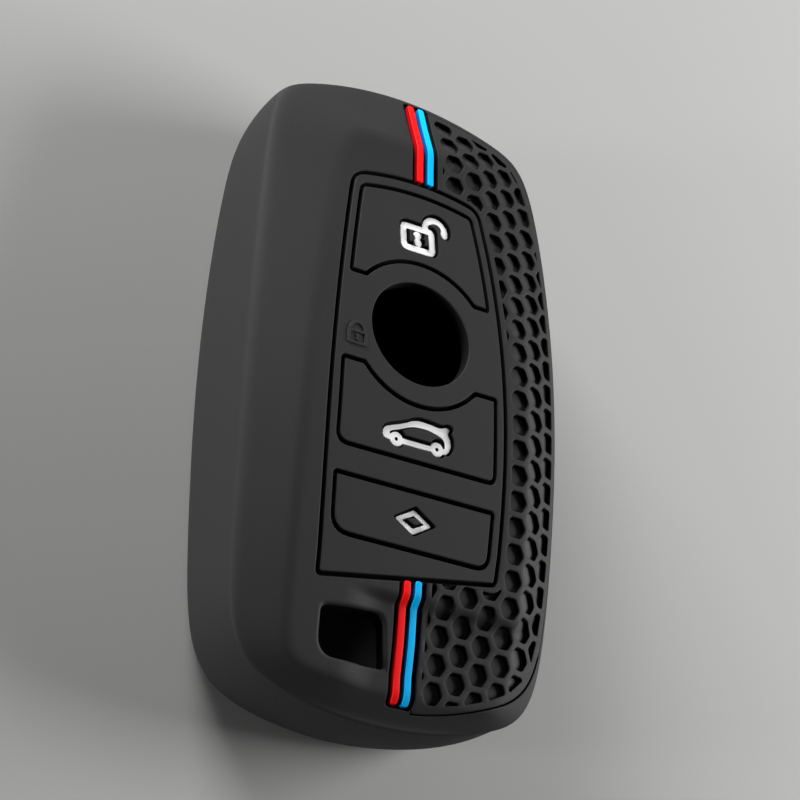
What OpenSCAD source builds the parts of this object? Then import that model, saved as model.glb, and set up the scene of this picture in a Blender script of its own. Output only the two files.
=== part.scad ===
// Silicone cover for a car key fob, lying on its back.
// The frame: X across the cover, Y along it with the rounded top end at +Y, and Z out of the front.
// The origin is at the middle of the back, so the back rests on Z = 0.
// All lengths are in millimetres.

/* [Cover] */
// Overall length of the cover
cover_l = 73.5; // [72:0.5:78]
// Overall width of the cover
cover_w = 38.2; // [37.4:0.2:41]
// Overall thickness, from the back to the highest point of the front
cover_t = 18.4; // [17.6:0.2:20]
// Thickness of the silicone wall
wall_t = 1.6; // [1.4:0.1:1.8]
// Distance of the widest place above the middle
waist_y = -5; // [-7:0.5:-3]
// Height of the widest line of the side walls above the back
waist_z = 11.4; // [10.6:0.2:12]
// How far the back edge is drawn in under the widest line
back_inset = 3; // [2.6:0.2:3.8]

/* [Front face] */
// Radius of the lengthwise crown of the front
crown_r = 152; // [120:1:200]
// How far the face rises above its crown at the top end
top_lift = 0.9; // [0.7:0.1:1.1]
// Width of the raised front face at its widest
face_w = 27.3; // [26.7:0.1:28.5]
// Place of the widest part of the raised face
face_mid_y = -13.3; // [-14.5:0.1:-12.5]
// Length of the bevel between the face and the top end
top_bevel = 8.2; // [7.8:0.1:8.6]
// Length of the bevel between the face and the bottom end
bottom_bevel = 2.9; // [2.5:0.1:3.3]
// Drop from the face to the outer edge of the bevel, at the middle
bevel_drop = 2.85; // [2.6:0.05:3.1]
// Radius of the lengthwise crown of the bevel's outer edge
edge_crown_r = 215; // [200:1:280]
// Depth of the shallow step near the bottom end
step_drop = 0.8; // [0.4:0.1:1]
// Place where the step starts
step_y = -23.9; // [-24.2:0.1:-23.6]
// Length over which the step comes down
step_l = 1.4; // [1.2:0.1:1.8]

/* [Keypad panel] */
// Width of the panel at its widest
panel_w = 21.4; // [21:0.1:22]
// Place of the widest part of the panel
panel_mid_y = -8.2; // [-9:0.1:-7.5]
// Place of the panel's top edge on the middle line
panel_top_y = 23.9; // [23.5:0.1:24.3]
// Place of the panel's bottom edge on the middle line
panel_bottom_y = -22.4; // [-22.8:0.1:-22.2]
// Rise of the slanted bottom edge, from the left to the right
panel_slant = 3.5; // [2.5:0.1:3.8]
// Width of the groove round the panel and round each button
groove_w = 0.5; // [0.4:0.05:0.6]
// Thickness of the flange and the webs at the bottom of the grooves
web_t = 0.35; // [0.3:0.05:0.5]
// Diameter of the round window for the fob's badge
window_d = 12; // [11:0.1:12.4]
// Place of the window on the middle line
window_y = 4.9; // [4.7:0.1:5.1]

/* [Buttons] */
// Margin between the panel's groove and the buttons' grooves
button_margin = 1.2; // [1.1:0.05:1.4]
// Place of the unlock button's top edge
unlock_top_y = 22.35; // [22.1:0.05:22.5]
// Radius of the round edge that both upper buttons share with the window
button_arc_r = 8.5; // [8.2:0.1:8.8]
// Place of the unlock button's lower corners
unlock_bottom_y = 10.2; // [10:0.05:10.5]
// Place of the boot button's upper corners
boot_top_y = -0.3; // [-0.6:0.1:0]
// Place of the boot button's bottom edge
boot_bottom_y = -9.9; // [-10.2:0.1:-9.6]
// Place of the lowest button's top edge
diamond_top_y = -13.15; // [-13.4:0.05:-12.9]
// Place of the lowest button's bottom edge
diamond_bottom_y = -19.4; // [-19.5:0.1:-19]
// How far a button can be pressed in
button_travel = 0.6; // [0.4:0.1:0.8]
// Diameter of the pusher under each button
pusher_d = 4.4; // [3.6:0.2:5]
// Height of the pusher under each button
pusher_h = 0.5; // [0.4:0.1:0.7]

/* [Signs] */
// Line width of the white signs
sign_line = 0.68; // [0.6:0.02:0.76]
// Depth of the recess that each sign stands in
sign_depth = 0.6; // [0.5:0.05:0.7]
// Width of the open margin round each sign
sign_margin = 0.22; // [0.16:0.02:0.26]
// How far the signs lie below the button's surface
sign_sunk = 0.3; // [0.2:0.02:0.36]
// Width of the open padlock's body
lock_w = 4.35; // [4.1:0.05:4.6]
// Length of the car sign
car_w = 8.44; // [8:0.02:8.9]
// Width of the diamond sign
diamond_w = 4.5; // [4.2:0.05:5]
// Width of the small padlock mark beside the window
mark_w = 2.37; // [2.2:0.01:2.5]
// Line width of the small padlock mark
mark_line = 0.35; // [0.3:0.01:0.4]

/* [Honeycomb band] */
// Distance between the rows of cells, across their flat sides
cell_pitch = 2.9; // [2.7:0.05:3.1]
// Width of the ribs between the cells
cell_rib = 0.65; // [0.55:0.05:0.75]
// Depth of the cells
cell_depth = 0.65; // [0.5:0.05:0.7]
// Depth of the band itself
band_t = 1; // [0.95:0.05:1.1]
// Width of the plain border round the band
band_border = 0.6; // [0.5:0.05:0.8]
// Width of the gap round the band
band_gap = 0.14; // [0.1:0.02:0.2]
// Place of the band's straight left edge
band_x = 2.65; // [2.6:0.05:2.8]

/* [Coloured ribs] */
// Width of each coloured rib
rib_w = 0.74; // [0.68:0.02:0.8]
// Gap between the two ribs
rib_space = 0.56; // [0.5:0.02:0.6]
// Place of the left edge of the red rib
rib_x = -0.04; // [-0.08:0.02:0.02]
// Depth of the channel that the ribs lie in
rib_depth = 0.6; // [0.5:0.05:0.7]
// Height of the ribs above the surface
rib_proud = 0.12; // [0.06:0.02:0.2]
// How far the ribs and the band's left edge lean to the right towards both ends
rib_lean = 0.8; // [0.6:0.05:0.85]

/* [Openings] */
// Width of the opening in the back
back_open_w = 27; // [25:0.5:28]
// Length of the opening in the back
back_open_l = 36; // [34:0.5:37]
// Place of the middle of the opening in the back
back_open_y = -10.8; // [-11.2:0.1:-10.4]
// Corner radius of the opening in the back
back_open_r = 8; // [6:0.5:10]
// Width of the key-ring hole
ring_w = 8.4; // [7.8:0.1:8.6]
// Height of the key-ring hole
ring_h = 6; // [5.6:0.1:6.2]

/* [Hidden] */

// Overrun of a cut past the surface that it opens
cut = 2;
// Smoothness of round edges
round_fn = 48;

// An outline is a list of the half width, the y of its widest place, the reach up and down from there,
// the narrowing at the top and bottom, the corner powers at the top and bottom, and the bow of both ends.
side_narrow_top = 3;
side_narrow_bottom = 0.85;
top_bow = 3.8;
bottom_bow = 3.9;
waist_outline = [cover_w / 2, waist_y, cover_l / 2 - waist_y, cover_l / 2 + waist_y,
                 side_narrow_top, side_narrow_bottom, 16, 8, top_bow, bottom_bow];

// The bevel's outer edge lies a little inside the widest outline
edge_in_side = 0.05;
edge_in_top = 0.65;
edge_in_bottom = 0.55;
edge_bow = 2.8;
edge_crown_y = 4;
edge_outline = [cover_w / 2 - edge_in_side, waist_y,
                cover_l / 2 - waist_y - edge_in_top, cover_l / 2 + waist_y - edge_in_bottom,
                side_narrow_top, side_narrow_bottom, 14, 10, top_bow, edge_bow];

// The raised face narrows more towards the top than the sides do
face_narrow_top = 5.1;
face_narrow_bottom = 0.55;
face_top_bow = 0.1;
face_bottom_bow = 0.5;
face_up = cover_l / 2 - top_bevel - face_mid_y;
face_down = cover_l / 2 - bottom_bevel + face_mid_y;
face_outline = [face_w / 2, face_mid_y, face_up, face_down,
                face_narrow_top, face_narrow_bottom, 12, 12, face_top_bow, face_bottom_bow];
// Width of the soft edge where the face turns into the bevel
face_soft = 0.5;

// The face starts to rise above its crown here, and is fully lifted at its top edge
lift_y = 20;
lift_l = cover_l / 2 - top_bevel - lift_y;
// The step fades out to the left between these two places
step_fade_x = -7;
step_fade_w = 5;

// The band's outline keeps a narrow rim of the shell outside it, and leaves a plain strip below it
band_rim = 0.44;
band_strip = 1.1;
band_bow = 5;
band_outline = [cover_w / 2 - edge_in_side - band_rim, waist_y,
                cover_l / 2 - waist_y - edge_in_top - band_rim,
                cover_l / 2 + waist_y - edge_in_bottom - band_strip,
                side_narrow_top, side_narrow_bottom, 14, 10, top_bow, band_bow];

// Half of the perimeter of a unit square, from the bottom middle round the right side to the top middle
step_end_share = (step_y - step_l - face_mid_y) / (face_down - face_soft - face_bottom_bow);
step_start_share = (step_y - face_mid_y) / (face_down - face_soft - face_bottom_bow);
end_shares = [0.08, 0.3, 0.55, 0.7, 0.8, 0.88, 0.95];
side_shares = [-1, -0.96, -0.9, -0.84, -0.76, step_end_share, step_start_share, -0.3, 0, 0.22, 0.43, 0.62,
               0.76, 0.84, 0.9, 0.95, 1];
half_perimeter = concat([for (s = end_shares) [s, -1]], [for (s = side_shares) [1, s]],
                        [for (i = [len(end_shares) - 1:-1:0]) [end_shares[i], 1]]);
half_n = len(half_perimeter);
perimeter = concat(half_perimeter, [for (i = [half_n - 1:-1:0]) [-half_perimeter[i].x, half_perimeter[i].y]]);
ring_n = len(perimeter);

// Places of the face's inner columns, as shares of a row from left to right
column_shares = [0.24, 0.33, 0.425];
column_n = len(column_shares);

// Rows of the bevel and of the wall below it, as shares, and of the curve under it, in degrees
bevel_shares = [0.08, 0.95];
wall_shares = [0.2, 0.6, 1];
under_angles = [30, 55, 75, 90];

function mix(a, b, t) = a + (b - a) * t;
function clamp_unit(t) = max(0, min(1, t));

// Point of an outline, grown by g, that belongs to point p of the unit square
function on_outline(o, p, g = 0) =
    let (up = p.y >= 0,
         power = up ? o[6] : o[7],
         r = pow(pow(abs(p.x), power) + pow(abs(p.y), power), -1 / power),
         u = p.x * r,
         v = p.y * r)
    [u * (o[0] + g - (up ? o[4] : o[5]) * v * v),
     o[1] + v * ((up ? o[2] : o[3]) + g - (up ? o[8] : o[9]) * u * u)];

// Height of the raised face and of the bevel's outer edge
function face_z(p) =
    cover_t - p.y * p.y / (2 * crown_r) + top_lift * pow(clamp_unit((p.y - lift_y) / lift_l), 2)
    - step_drop * clamp_unit((step_y - p.y) / step_l) * clamp_unit((p.x - step_fade_x) / step_fade_w);
function edge_z(p) = cover_t - bevel_drop - pow(p.y - edge_crown_y, 2) / (2 * edge_crown_r);

// Points of the section: on the face's edge, the bevel, the wall down to the widest line, and under it
bevel_tilt = atan(bevel_drop / (cover_w / 2 - face_w / 2));
function face_point(p, g, d) =
    let (q = on_outline(face_outline, p, g)) [q.x, q.y, face_z(q) + d];
function edge_point(p, d) =
    let (q = on_outline(edge_outline, p, d)) [q.x, q.y, edge_z(q) + d * tan((90 - bevel_tilt) / 2)];
function waist_point(p, d) =
    let (q = on_outline(waist_outline, p, d)) [q.x, q.y, waist_z];
function bevel_point(p, d, t) = mix(face_point(p, d * tan(bevel_tilt / 2), d), edge_point(p, d), t);
function wall_point(p, d, t) =
    let (a = edge_point(p, d), b = waist_point(p, d), out = sin(90 * t), down = 1 - cos(90 * t))
    [mix(a.x, b.x, out), mix(a.y, b.y, out), mix(a.z, b.z, down)];
function under_point(p, d, angle) =
    let (q = on_outline(waist_outline, p, d - back_inset * (1 - cos(angle))))
    [q.x, q.y, waist_z - (waist_z + d) * sin(angle)];

// All rings of the skin from the face down to the back, for a skin moved outwards by d
function skin_rings(d) = concat(
    [[for (p = perimeter) face_point(p, d * tan(bevel_tilt / 2) - face_soft, d)]],
    [for (t = bevel_shares) [for (p = perimeter) bevel_point(p, d, t)]],
    [for (t = wall_shares) [for (p = perimeter) wall_point(p, d, t)]],
    [for (angle = under_angles) [for (p = perimeter) under_point(p, d, angle)]]);

// Inner points of the face, row by row
function face_grid(ring, d) = [
    for (k = [1:half_n - 2]) for (s = column_shares)
        let (q = mix(ring[ring_n - 1 - k], ring[k], s)) [q.x, q.y, face_z(q) + d]];

// Number of the face's point in row k and column c, with the ring's own points at both ends
function face_index(k, c, base) =
    c == 0 ? ring_n - 1 - k : c == column_n + 1 ? k : base + (k - 1) * column_n + c - 1;

// Closed skin of the whole cover, moved outwards by d
module skin(d = 0) {
    rings = skin_rings(d);
    rows = len(rings);
    base = rows * ring_n;
    last = half_n - 1;
    side_faces = [
        for (r = [0:rows - 2]) for (i = [0:ring_n - 1])
            let (j = (i + 1) % ring_n, a = r * ring_n, b = a + ring_n)
            each [[a + i, a + j, b + j], [a + i, b + j, b + i]]];
    face_faces = [
        for (k = [1:last - 2]) for (c = [0:column_n])
            let (a = face_index(k, c, base), b = face_index(k + 1, c, base),
                 e = face_index(k + 1, c + 1, base), f = face_index(k, c + 1, base))
            each [[a, b, e], [a, e, f]]];
    bottom_fan = concat(
        [[0, ring_n - 1, face_index(1, 0, base)]],
        [for (c = [0:column_n]) [0, face_index(1, c, base), face_index(1, c + 1, base)]]);
    top_fan = concat(
        [[last, face_index(last - 1, 0, base), last + 1]],
        [for (c = [0:column_n]) [last, face_index(last - 1, c + 1, base), face_index(last - 1, c, base)]]);
    back_face = [[for (i = [0:ring_n - 1]) (rows - 1) * ring_n + i]];
    polyhedron([for (ring = rings) each ring, each face_grid(rings[0], d)],
               concat(side_faces, face_faces, bottom_fan, top_fan, back_face));
}

module lowered_skin(depth) { translate([0, 0, -depth]) skin(); }
module cavity() { skin(-wall_t); }

// Everything in the upper half, inside a flat outline
front_z = cover_t / 2;
module front_prism() {
    translate([0, 0, front_z]) linear_extrude(cover_t - front_z + cut) children();
}

// The front's wall inside a flat outline, and its innermost layer
module front_wall() {
    difference() {
        intersection() {
            skin();
            front_prism() children();
        }
        cavity();
    }
}
module inner_layer() {
    difference() {
        intersection() {
            translate([0, 0, web_t]) cavity();
            front_prism() children();
        }
        cavity();
    }
}

// The part of the front between two depths, inside a flat outline
module front_layer(top_depth, bottom_depth) {
    difference() {
        intersection() {
            lowered_skin(top_depth);
            front_prism() children();
        }
        lowered_skin(bottom_depth);
    }
}

// Everything above a depth, inside a flat outline
module front_cut(depth) {
    difference() {
        front_prism() children();
        lowered_skin(depth);
    }
}

// A polygon whose points carry the size of their rounded corner as a third number
corner_shares = [0, 0.25, 0.5, 0.75, 1];
function towards(a, b, size) = a + (b - a) * size / norm(b - a);
function corner(a, c, b) = [for (t = corner_shares) mix(mix(a, c, t), mix(c, b, t), t)];
function flat(p) = [p.x, p.y];
function rounded(list) = [
    for (i = [0:len(list) - 1])
        let (n = len(list), c = flat(list[i]), size = list[i].z,
             a = flat(list[(i + n - 1) % n]), b = flat(list[(i + 1) % n]))
        each (size > 0 ? corner(towards(c, a, size), c, towards(c, b, size)) : [c])];
function arc(centre, r, from, to, steps) = [
    for (i = [0:steps])
        let (angle = mix(from, to, i / steps)) [centre.x + r * cos(angle), centre.y + r * sin(angle), 0]];
function sizes(points, size) = [for (p = points) [p.x, p.y, size]];

// Half width of the keypad panel at height y, and the arched top edge that it shares with the unlock button
panel_top_side_r = 167;
panel_bottom_side_r = 290;
panel_top_r = 28;
panel_corner = 1.4;
panel_foot_corner = 0.5;
arch_shares = [0.8, 0.53, 0.27, 0, -0.27, -0.53, -0.8];
side_steps = 8;
function panel_half(y) =
    panel_w / 2 - pow(y - panel_mid_y, 2) / (2 * (y > panel_mid_y ? panel_top_side_r : panel_bottom_side_r));
function arch_y(x, top_y) = top_y - x * x / (2 * panel_top_r);
function arch_half(top_y, inset) = panel_half(arch_y(panel_half(top_y) - inset, top_y)) - inset;
function arch(top_y, inset, size) =
    let (h = arch_half(top_y, inset))
    concat([[h, arch_y(h, top_y), size]], [for (s = arch_shares) [s * h, arch_y(s * h, top_y), 0]],
           [[-h, arch_y(h, top_y), size]]);

// Points up the right side or down the left side, without the ends
function side_points(y0, y1, inset, way) = [
    for (i = [1:side_steps - 1])
        let (y = mix(y0, y1, i / side_steps)) [way * (panel_half(y) - inset), y, 0]];

function panel_foot(x, inset) = panel_bottom_y + inset + panel_slant * x / panel_w;
function panel_outline(inset) =
    let (h = panel_half(panel_bottom_y) - inset, top_y = panel_top_y - inset,
         top = arch(top_y, inset, panel_corner - inset), shoulder = top[0].y,
         right = panel_foot(h, inset), left = panel_foot(-h, inset))
    rounded(concat([[-h, left, panel_foot_corner]], [[h, right, panel_foot_corner]],
                   side_points(right, shoulder, inset, 1), top, side_points(shoulder, left, inset, -1)));

// The round edge of the two upper buttons follows the window
window_centre = [0, window_y];
arc_steps = 12;
tip_steps = 4;
tip_turn = 30;
button_corner = 0.6;
button_foot_corner = 0.3;
function unlock_outline(inset) =
    let (m = button_margin + inset, top_y = unlock_top_y - inset, foot = unlock_bottom_y + inset,
         top = arch(top_y, m, button_corner - inset), shoulder = top[0].y, h = panel_half(foot) - m,
         r = button_arc_r + inset, angle = asin((foot - window_y) / r))
    rounded(concat(arc(window_centre, r, 180 - angle, angle, arc_steps),
                   [[h, foot, button_foot_corner - inset]], side_points(foot, shoulder, m, 1), top,
                   side_points(shoulder, foot, m, -1), [[-h, foot, button_foot_corner - inset]]));

boot_left_corner = 1.3;
boot_right_corner = 1;
function boot_outline(inset) =
    let (m = button_margin + inset, head = boot_top_y - inset, foot = boot_bottom_y + inset,
         h = panel_half(head) - m, k = panel_half(foot) - m,
         r = button_arc_r + inset, angle = asin((head - window_y) / r))
    rounded(concat([[-k, foot, boot_left_corner - inset], [k, foot, boot_right_corner - inset],
                    [h, head, button_foot_corner - inset]],
                   arc(window_centre, r, angle, -180 - angle, arc_steps),
                   [[-h, head, button_foot_corner - inset]]));

diamond_left_corner = 2;
diamond_right_corner = 1.6;
function diamond_outline(inset) =
    let (m = button_margin + inset, head = diamond_top_y - inset, foot = diamond_bottom_y + inset,
         h = panel_half(head) - m, k = panel_half(foot) - m)
    rounded([[-k, foot, diamond_left_corner - inset], [k, foot, diamond_right_corner - inset],
             [h, head, button_foot_corner - inset], [-h, head, button_foot_corner - inset]]);

// The three buttons: their centres, and the gap between a web and its button
web_clear = 0.1;
unlock_centre = [0, (unlock_top_y + window_y + button_arc_r) / 2];
boot_centre = [0, (window_y - button_arc_r + boot_bottom_y) / 2];
diamond_centre = [0, (diamond_top_y + diamond_bottom_y) / 2];

function at_face(p, h = 0) = [p.x, p.y, face_z(p) + h];

// A pusher stands under the button and reaches half way into its wall
module pusher(centre) {
    translate(at_face(centre, -wall_t - pusher_h))
        cylinder(h = pusher_h + wall_t / 2, d = pusher_d, $fn = round_fn);
}

// The recess round a sign, and the sign itself, from a flat drawing
module sign_recess(centre) {
    translate(at_face(centre, -sign_depth)) linear_extrude(sign_depth + cut) children();
}
module sign_body(centre) {
    translate(at_face(centre, -sign_depth)) linear_extrude(sign_depth - sign_sunk) children();
}

module button_body(outline, centre) {
    front_wall() polygon(outline);
    pusher(centre);
}

// A web closes the bottom of the groove round a button
module web_body(outer, inner) {
    inner_layer() difference() {
        polygon(outer);
        polygon(inner);
    }
}

// Flat drawing of a frame with rounded corners, grown by g
module frame_drawing(centre, w, h, line, size, g) {
    x = w / 2 + g;
    y = h / 2 + g;
    difference() {
        translate(centre) polygon(rounded(sizes([[-x, -y], [x, -y], [x, y], [-x, y]], size + g)));
        translate(centre) square([w - 2 * (line + g), h - 2 * (line + g)], center = true);
    }
}

// Flat drawing of a shackle: a bent bar whose left leg goes down to a level, grown by g
module shackle_drawing(centre, r, line, to_angle, level, g) {
    outer = r + line / 2 + g;
    inner = r - line / 2 - g;
    tip = [centre.x + r * cos(to_angle), centre.y + r * sin(to_angle)];
    polygon([for (p = concat([[centre.x - inner, level], [centre.x - outer, level]],
                             arc(centre, outer, 180, to_angle, arc_steps),
                             arc(tip, line / 2 + g, to_angle - tip_turn, to_angle - 180 + tip_turn, tip_steps),
                             arc(centre, inner, to_angle, 180, arc_steps))) flat(p)]);
}

// The open padlock on the unlock button
lock_centre = [0.03, 16.82];
lock_h = lock_w * 0.815;
lock_corner = 0.75;
shackle_r = 1.24;
shackle_centre = [2.27, 18.65];
shackle_end_angle = -18;
keyhole_d = 0.8;
keyhole_neck = 0.42;
keyhole_half = 0.45;
lock_top = lock_centre.y + lock_h / 2;
module unlock_frame_drawing(g) { frame_drawing(lock_centre, lock_w, lock_h, sign_line, lock_corner, g); }
module unlock_shackle_drawing(g) {
    shackle_drawing(shackle_centre, shackle_r, sign_line, shackle_end_angle, lock_top, g);
}
module keyhole_drawing(centre, d, half, neck, g) {
    translate([centre.x, centre.y + half]) circle(d = d + 2 * g, $fn = round_fn / 2);
    translate([centre.x, centre.y - half]) circle(d = d + 2 * g, $fn = round_fn / 2);
    translate(centre) square([neck + 2 * g, 2 * half], center = true);
}
module unlock_keyhole_drawing(g) {
    keyhole_drawing(lock_centre, keyhole_d, keyhole_half, keyhole_neck, g);
}

// The car with its lid up, as shares of its length, from the foot of the bonnet over the roof to the tail
car_centre = [0.02, -6.55];
car_outer_shares = [[-0.456, -0.191], [-0.500, -0.129], [-0.495, -0.057], [-0.451, -0.005],
                    [-0.264, 0.062], [-0.146, 0.117], [-0.078, 0.156], [0.025, 0.180], [0.182, 0.173],
                    [0.323, 0.154], [0.402, 0.191], [0.481, 0.180], [0.440, 0.104], [0.483, 0.026],
                    [0.500, -0.066], [0.453, -0.160], [0.402, -0.191]];
car_inner_shares = [[-0.368, -0.113], [-0.400, -0.063], [-0.244, -0.009], [-0.083, 0.070],
                    [0.098, 0.086], [0.239, 0.066], [0.383, 0.015], [0.405, -0.083], [0.378, -0.113]];
wheel_shares = [[-0.293, -0.147], [0.289, -0.137]];
// How much the car's strokes are drawn in on both sides
car_trim = 0.07;
wheel_d = 1.6;
wheel_hole_d = 0.36;
function car_points(list) = [for (s = list) [car_centre.x + s.x * car_w, car_centre.y + s.y * car_w]];
// Each point of a closed outline moved outwards by g, for an outline that runs clockwise
function grown(points, g) = [
    for (i = [0:len(points) - 1])
        let (n = len(points), a = points[(i + n - 1) % n], c = points[i], b = points[(i + 1) % n],
             u = (c - a) / norm(c - a), v = (b - c) / norm(b - c),
             across = [-u.y - v.y, u.x + v.x], half = norm(across) / 2)
        c + across * g / (2 * half * half)];
module car_drawing(g) {
    difference() {
        polygon(grown(car_points(car_outer_shares), g - car_trim));
        polygon(grown(car_points(car_inner_shares), car_trim - g));
    }
}
module wheels_drawing(g) {
    for (p = car_points(wheel_shares)) translate(p) circle(d = wheel_d + 2 * g, $fn = round_fn);
}
module wheel_holes_drawing() {
    for (p = car_points(wheel_shares)) translate(p) circle(d = wheel_hole_d, $fn = round_fn / 2);
}

// The diamond
diamond_sign_centre = [0.19, -16.25];
diamond_outer_shares = [[0.5, 0], [0, -0.3], [-0.5, 0], [0, 0.3]];
diamond_inner_shares = [[0.29, 0], [0, -0.155], [-0.29, 0], [0, 0.155]];
diamond_round = 0.3;
function diamond_points(list) = [for (s = list) diamond_sign_centre + s * diamond_w];
module diamond_drawing(g) {
    difference() {
        polygon(rounded(sizes(grown(diamond_points(diamond_outer_shares), g), diamond_round)));
        polygon(grown(diamond_points(diamond_inner_shares), -g));
    }
}

// The small closed padlock beside the window stands up from the panel
mark_centre = [-7.79, 2.17];
mark_h = mark_w * 0.73;
mark_corner = 0.3;
mark_shackle_r = 0.88;
mark_proud = 0.14;
mark_keyhole_d = 0.4;
mark_keyhole_half = 0.22;
mark_keyhole_neck = 0.2;
mark_top = mark_centre.y + mark_h / 2;
module mark_layer() { front_layer(-mark_proud, 0) children(); }
module mark_shackle_drawing() {
    outer = mark_shackle_r + mark_line / 2;
    inner = mark_shackle_r - mark_line / 2;
    arch_centre = [mark_centre.x, mark_top];
    polygon(concat([for (p = arc(arch_centre, outer, 180, 0, arc_steps)) flat(p)],
                   [for (p = arc(arch_centre, inner, 0, 180, arc_steps)) flat(p)]));
}

// The honeycomb: flat-topped cells in columns, with neighbouring columns half a row apart
cell_r = (cell_pitch - cell_rib) / sqrt(3);
column_pitch = cell_pitch * sqrt(3) / 2;
cell_start = [12.4, 0.5];
cell_columns = [-4:2];
cell_rows = [-13:12];
// Pieces of cut cells narrower than twice this are left out
cell_sliver = 0.12;
function column_shift(k) = k % 2 == 0 ? 0 : cell_pitch / 2;

// The lean at a height: the height is a share of the cover's length, and the shift a share of the lean
lean_shares = [[-0.5, 0.75], [-0.48, 0.59], [-0.435, 0.13], [-0.39, 0.04], [-0.31, -0.43], [0.327, 0.1],
               [0.4, 0.12], [0.44, 0.37], [0.49, 0.82], [0.51, 0.95]];
function lean(y) = rib_lean * lookup(y / cover_l, lean_shares);
function lean_places(low, high) =
    concat([low], [for (row = lean_shares) let (y = row[0] * cover_l) if (y > low && y < high) y], [high]);
function leaning(x, low, high) = [for (y = lean_places(low, high)) [x + lean(y), y]];
function backwards(list) = [for (i = [len(list) - 1:-1:0]) list[i]];

module band_drawing(g) {
    difference() {
        intersection() {
            polygon([for (p = perimeter) on_outline(band_outline, p, g)]);
            polygon(concat(leaning(band_x - g, -cover_l / 2, cover_l / 2),
                           [[cover_w, cover_l / 2], [cover_w, -cover_l / 2]]));
        }
        polygon(panel_outline(-groove_w / 2 + g));
    }
}
module cell_drawing() {
    offset(delta = cell_sliver) offset(delta = -cell_sliver) intersection() {
        band_drawing(-band_border);
        for (k = cell_columns) for (j = cell_rows)
            translate([cell_start.x + k * column_pitch, cell_start.y + j * cell_pitch + column_shift(k)])
                circle(r = cell_r, $fn = 6);
    }
}

// The ribs run from the panel's groove to both ends, in two channels that open into the band's recess
rib_top_y = cover_l / 2 - 1;
rib_bottom_y = -cover_l / 2 + 2.15;
channel_side = 0.54;
channel_end = 0.26;
channel_corner = 0.5;
blue_x = rib_x + rib_w + rib_space;
rib_root = 3;
rib_corner = 0.3;
module rib_drawing(x, tip_y, root_y) {
    low = min(tip_y, root_y);
    high = max(tip_y, root_y);
    difference() {
        polygon(rounded([for (p = concat(leaning(x + rib_w, low, high), backwards(leaning(x, low, high))))
            [p.x, p.y, p.y == tip_y ? rib_corner : 0]]));
        polygon(panel_outline(-groove_w / 2));
    }
}
module rib_body(x, tip_y, root_y) {
    front_layer(-rib_proud, rib_depth) rib_drawing(x, tip_y, root_y);
}
module channel_drawing() {
    left = rib_x - channel_side;
    right = band_x - band_gap / 2;
    top = rib_top_y + channel_end;
    foot = rib_bottom_y - channel_end;
    upper = leaning(left, panel_top_y - rib_root, top);
    lower = leaning(left, foot, panel_bottom_y + rib_root);
    polygon(rounded(concat([for (p = leaning(right, panel_top_y - rib_root, top)) [p.x, p.y, 0]],
                           [for (p = backwards(upper)) [p.x, p.y, p.y == top ? channel_corner : 0]])));
    polygon(rounded(concat([for (p = leaning(right, foot, panel_bottom_y + rib_root)) [p.x, p.y, 0]],
                           [for (p = backwards(lower)) [p.x, p.y, p.y == foot ? channel_corner : 0]])));
}

// The key-ring hole in the lower left corner
ring_centre = [-5.22, -29];
// Its corners, each with the size of its rounding as a share of the hole's height
ring_shares = [[-0.5, 0.34, 0.13], [-0.474, -0.5, 0.38], [0.5, -0.433, 0.07], [0.395, 0.5, 0.27]];
module ring_drawing() {
    polygon(rounded([for (s = ring_shares)
        [ring_centre.x + s.x * ring_w, ring_centre.y + s.y * ring_h, s.z * ring_h]]));
}

// The opening in the back, through which the fob goes in
module back_drawing() {
    x = back_open_w / 2 - back_open_r;
    y = back_open_l / 2 - back_open_r;
    translate([0, back_open_y]) {
        square([back_open_w, 2 * y], center = true);
        square([2 * x, back_open_l], center = true);
        for (a = [-x, x]) for (b = [-y, y]) translate([a, b]) circle(r = back_open_r, $fn = 2 * round_fn);
    }
}

dark = [0.22, 0.22, 0.23];
darker = [0.17, 0.17, 0.18];
white = [0.93, 0.93, 0.93];
red = [0.9, 0.08, 0.1];
azure = [0, 0.6, 0.95];

module shell() color(dark) {
    difference() {
        skin();
        cavity();
        front_prism() polygon(panel_outline(-groove_w / 2));
        front_prism() ring_drawing();
        front_cut(band_t) band_drawing(band_gap);
        front_cut(rib_depth) channel_drawing();
        translate([0, 0, -cut]) linear_extrude(front_z + cut) back_drawing();
    }
}

module honeycomb_band() color(darker) {
    difference() {
        front_layer(0, band_t) band_drawing(0);
        front_cut(cell_depth) cell_drawing();
    }
}

module keypad_panel() color(dark) {
    difference() {
        union() {
            front_wall() polygon(panel_outline(groove_w / 2));
            inner_layer() polygon(panel_outline(-groove_w / 2));
        }
        front_prism() {
            polygon(unlock_outline(-groove_w / 2));
            polygon(boot_outline(-groove_w / 2));
            polygon(diamond_outline(-groove_w / 2));
        }
        translate([0, window_y, front_z]) cylinder(h = cover_t, d = window_d, $fn = 2 * round_fn);
    }
}

module unlock_button() color(dark) {
    difference() {
        button_body(unlock_outline(groove_w / 2), unlock_centre);
        sign_recess(lock_centre) translate(-lock_centre) {
            unlock_frame_drawing(sign_margin);
            unlock_shackle_drawing(sign_margin);
            unlock_keyhole_drawing(sign_margin);
        }
    }
}
module boot_button() color(dark) {
    difference() {
        button_body(boot_outline(groove_w / 2), boot_centre);
        sign_recess(car_centre) translate(-car_centre) {
            car_drawing(sign_margin);
            wheels_drawing(sign_margin);
        }
    }
}
module diamond_button() color(dark) {
    difference() {
        button_body(diamond_outline(groove_w / 2), diamond_centre);
        sign_recess(diamond_sign_centre) translate(-diamond_sign_centre) diamond_drawing(sign_margin);
    }
}

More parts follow.
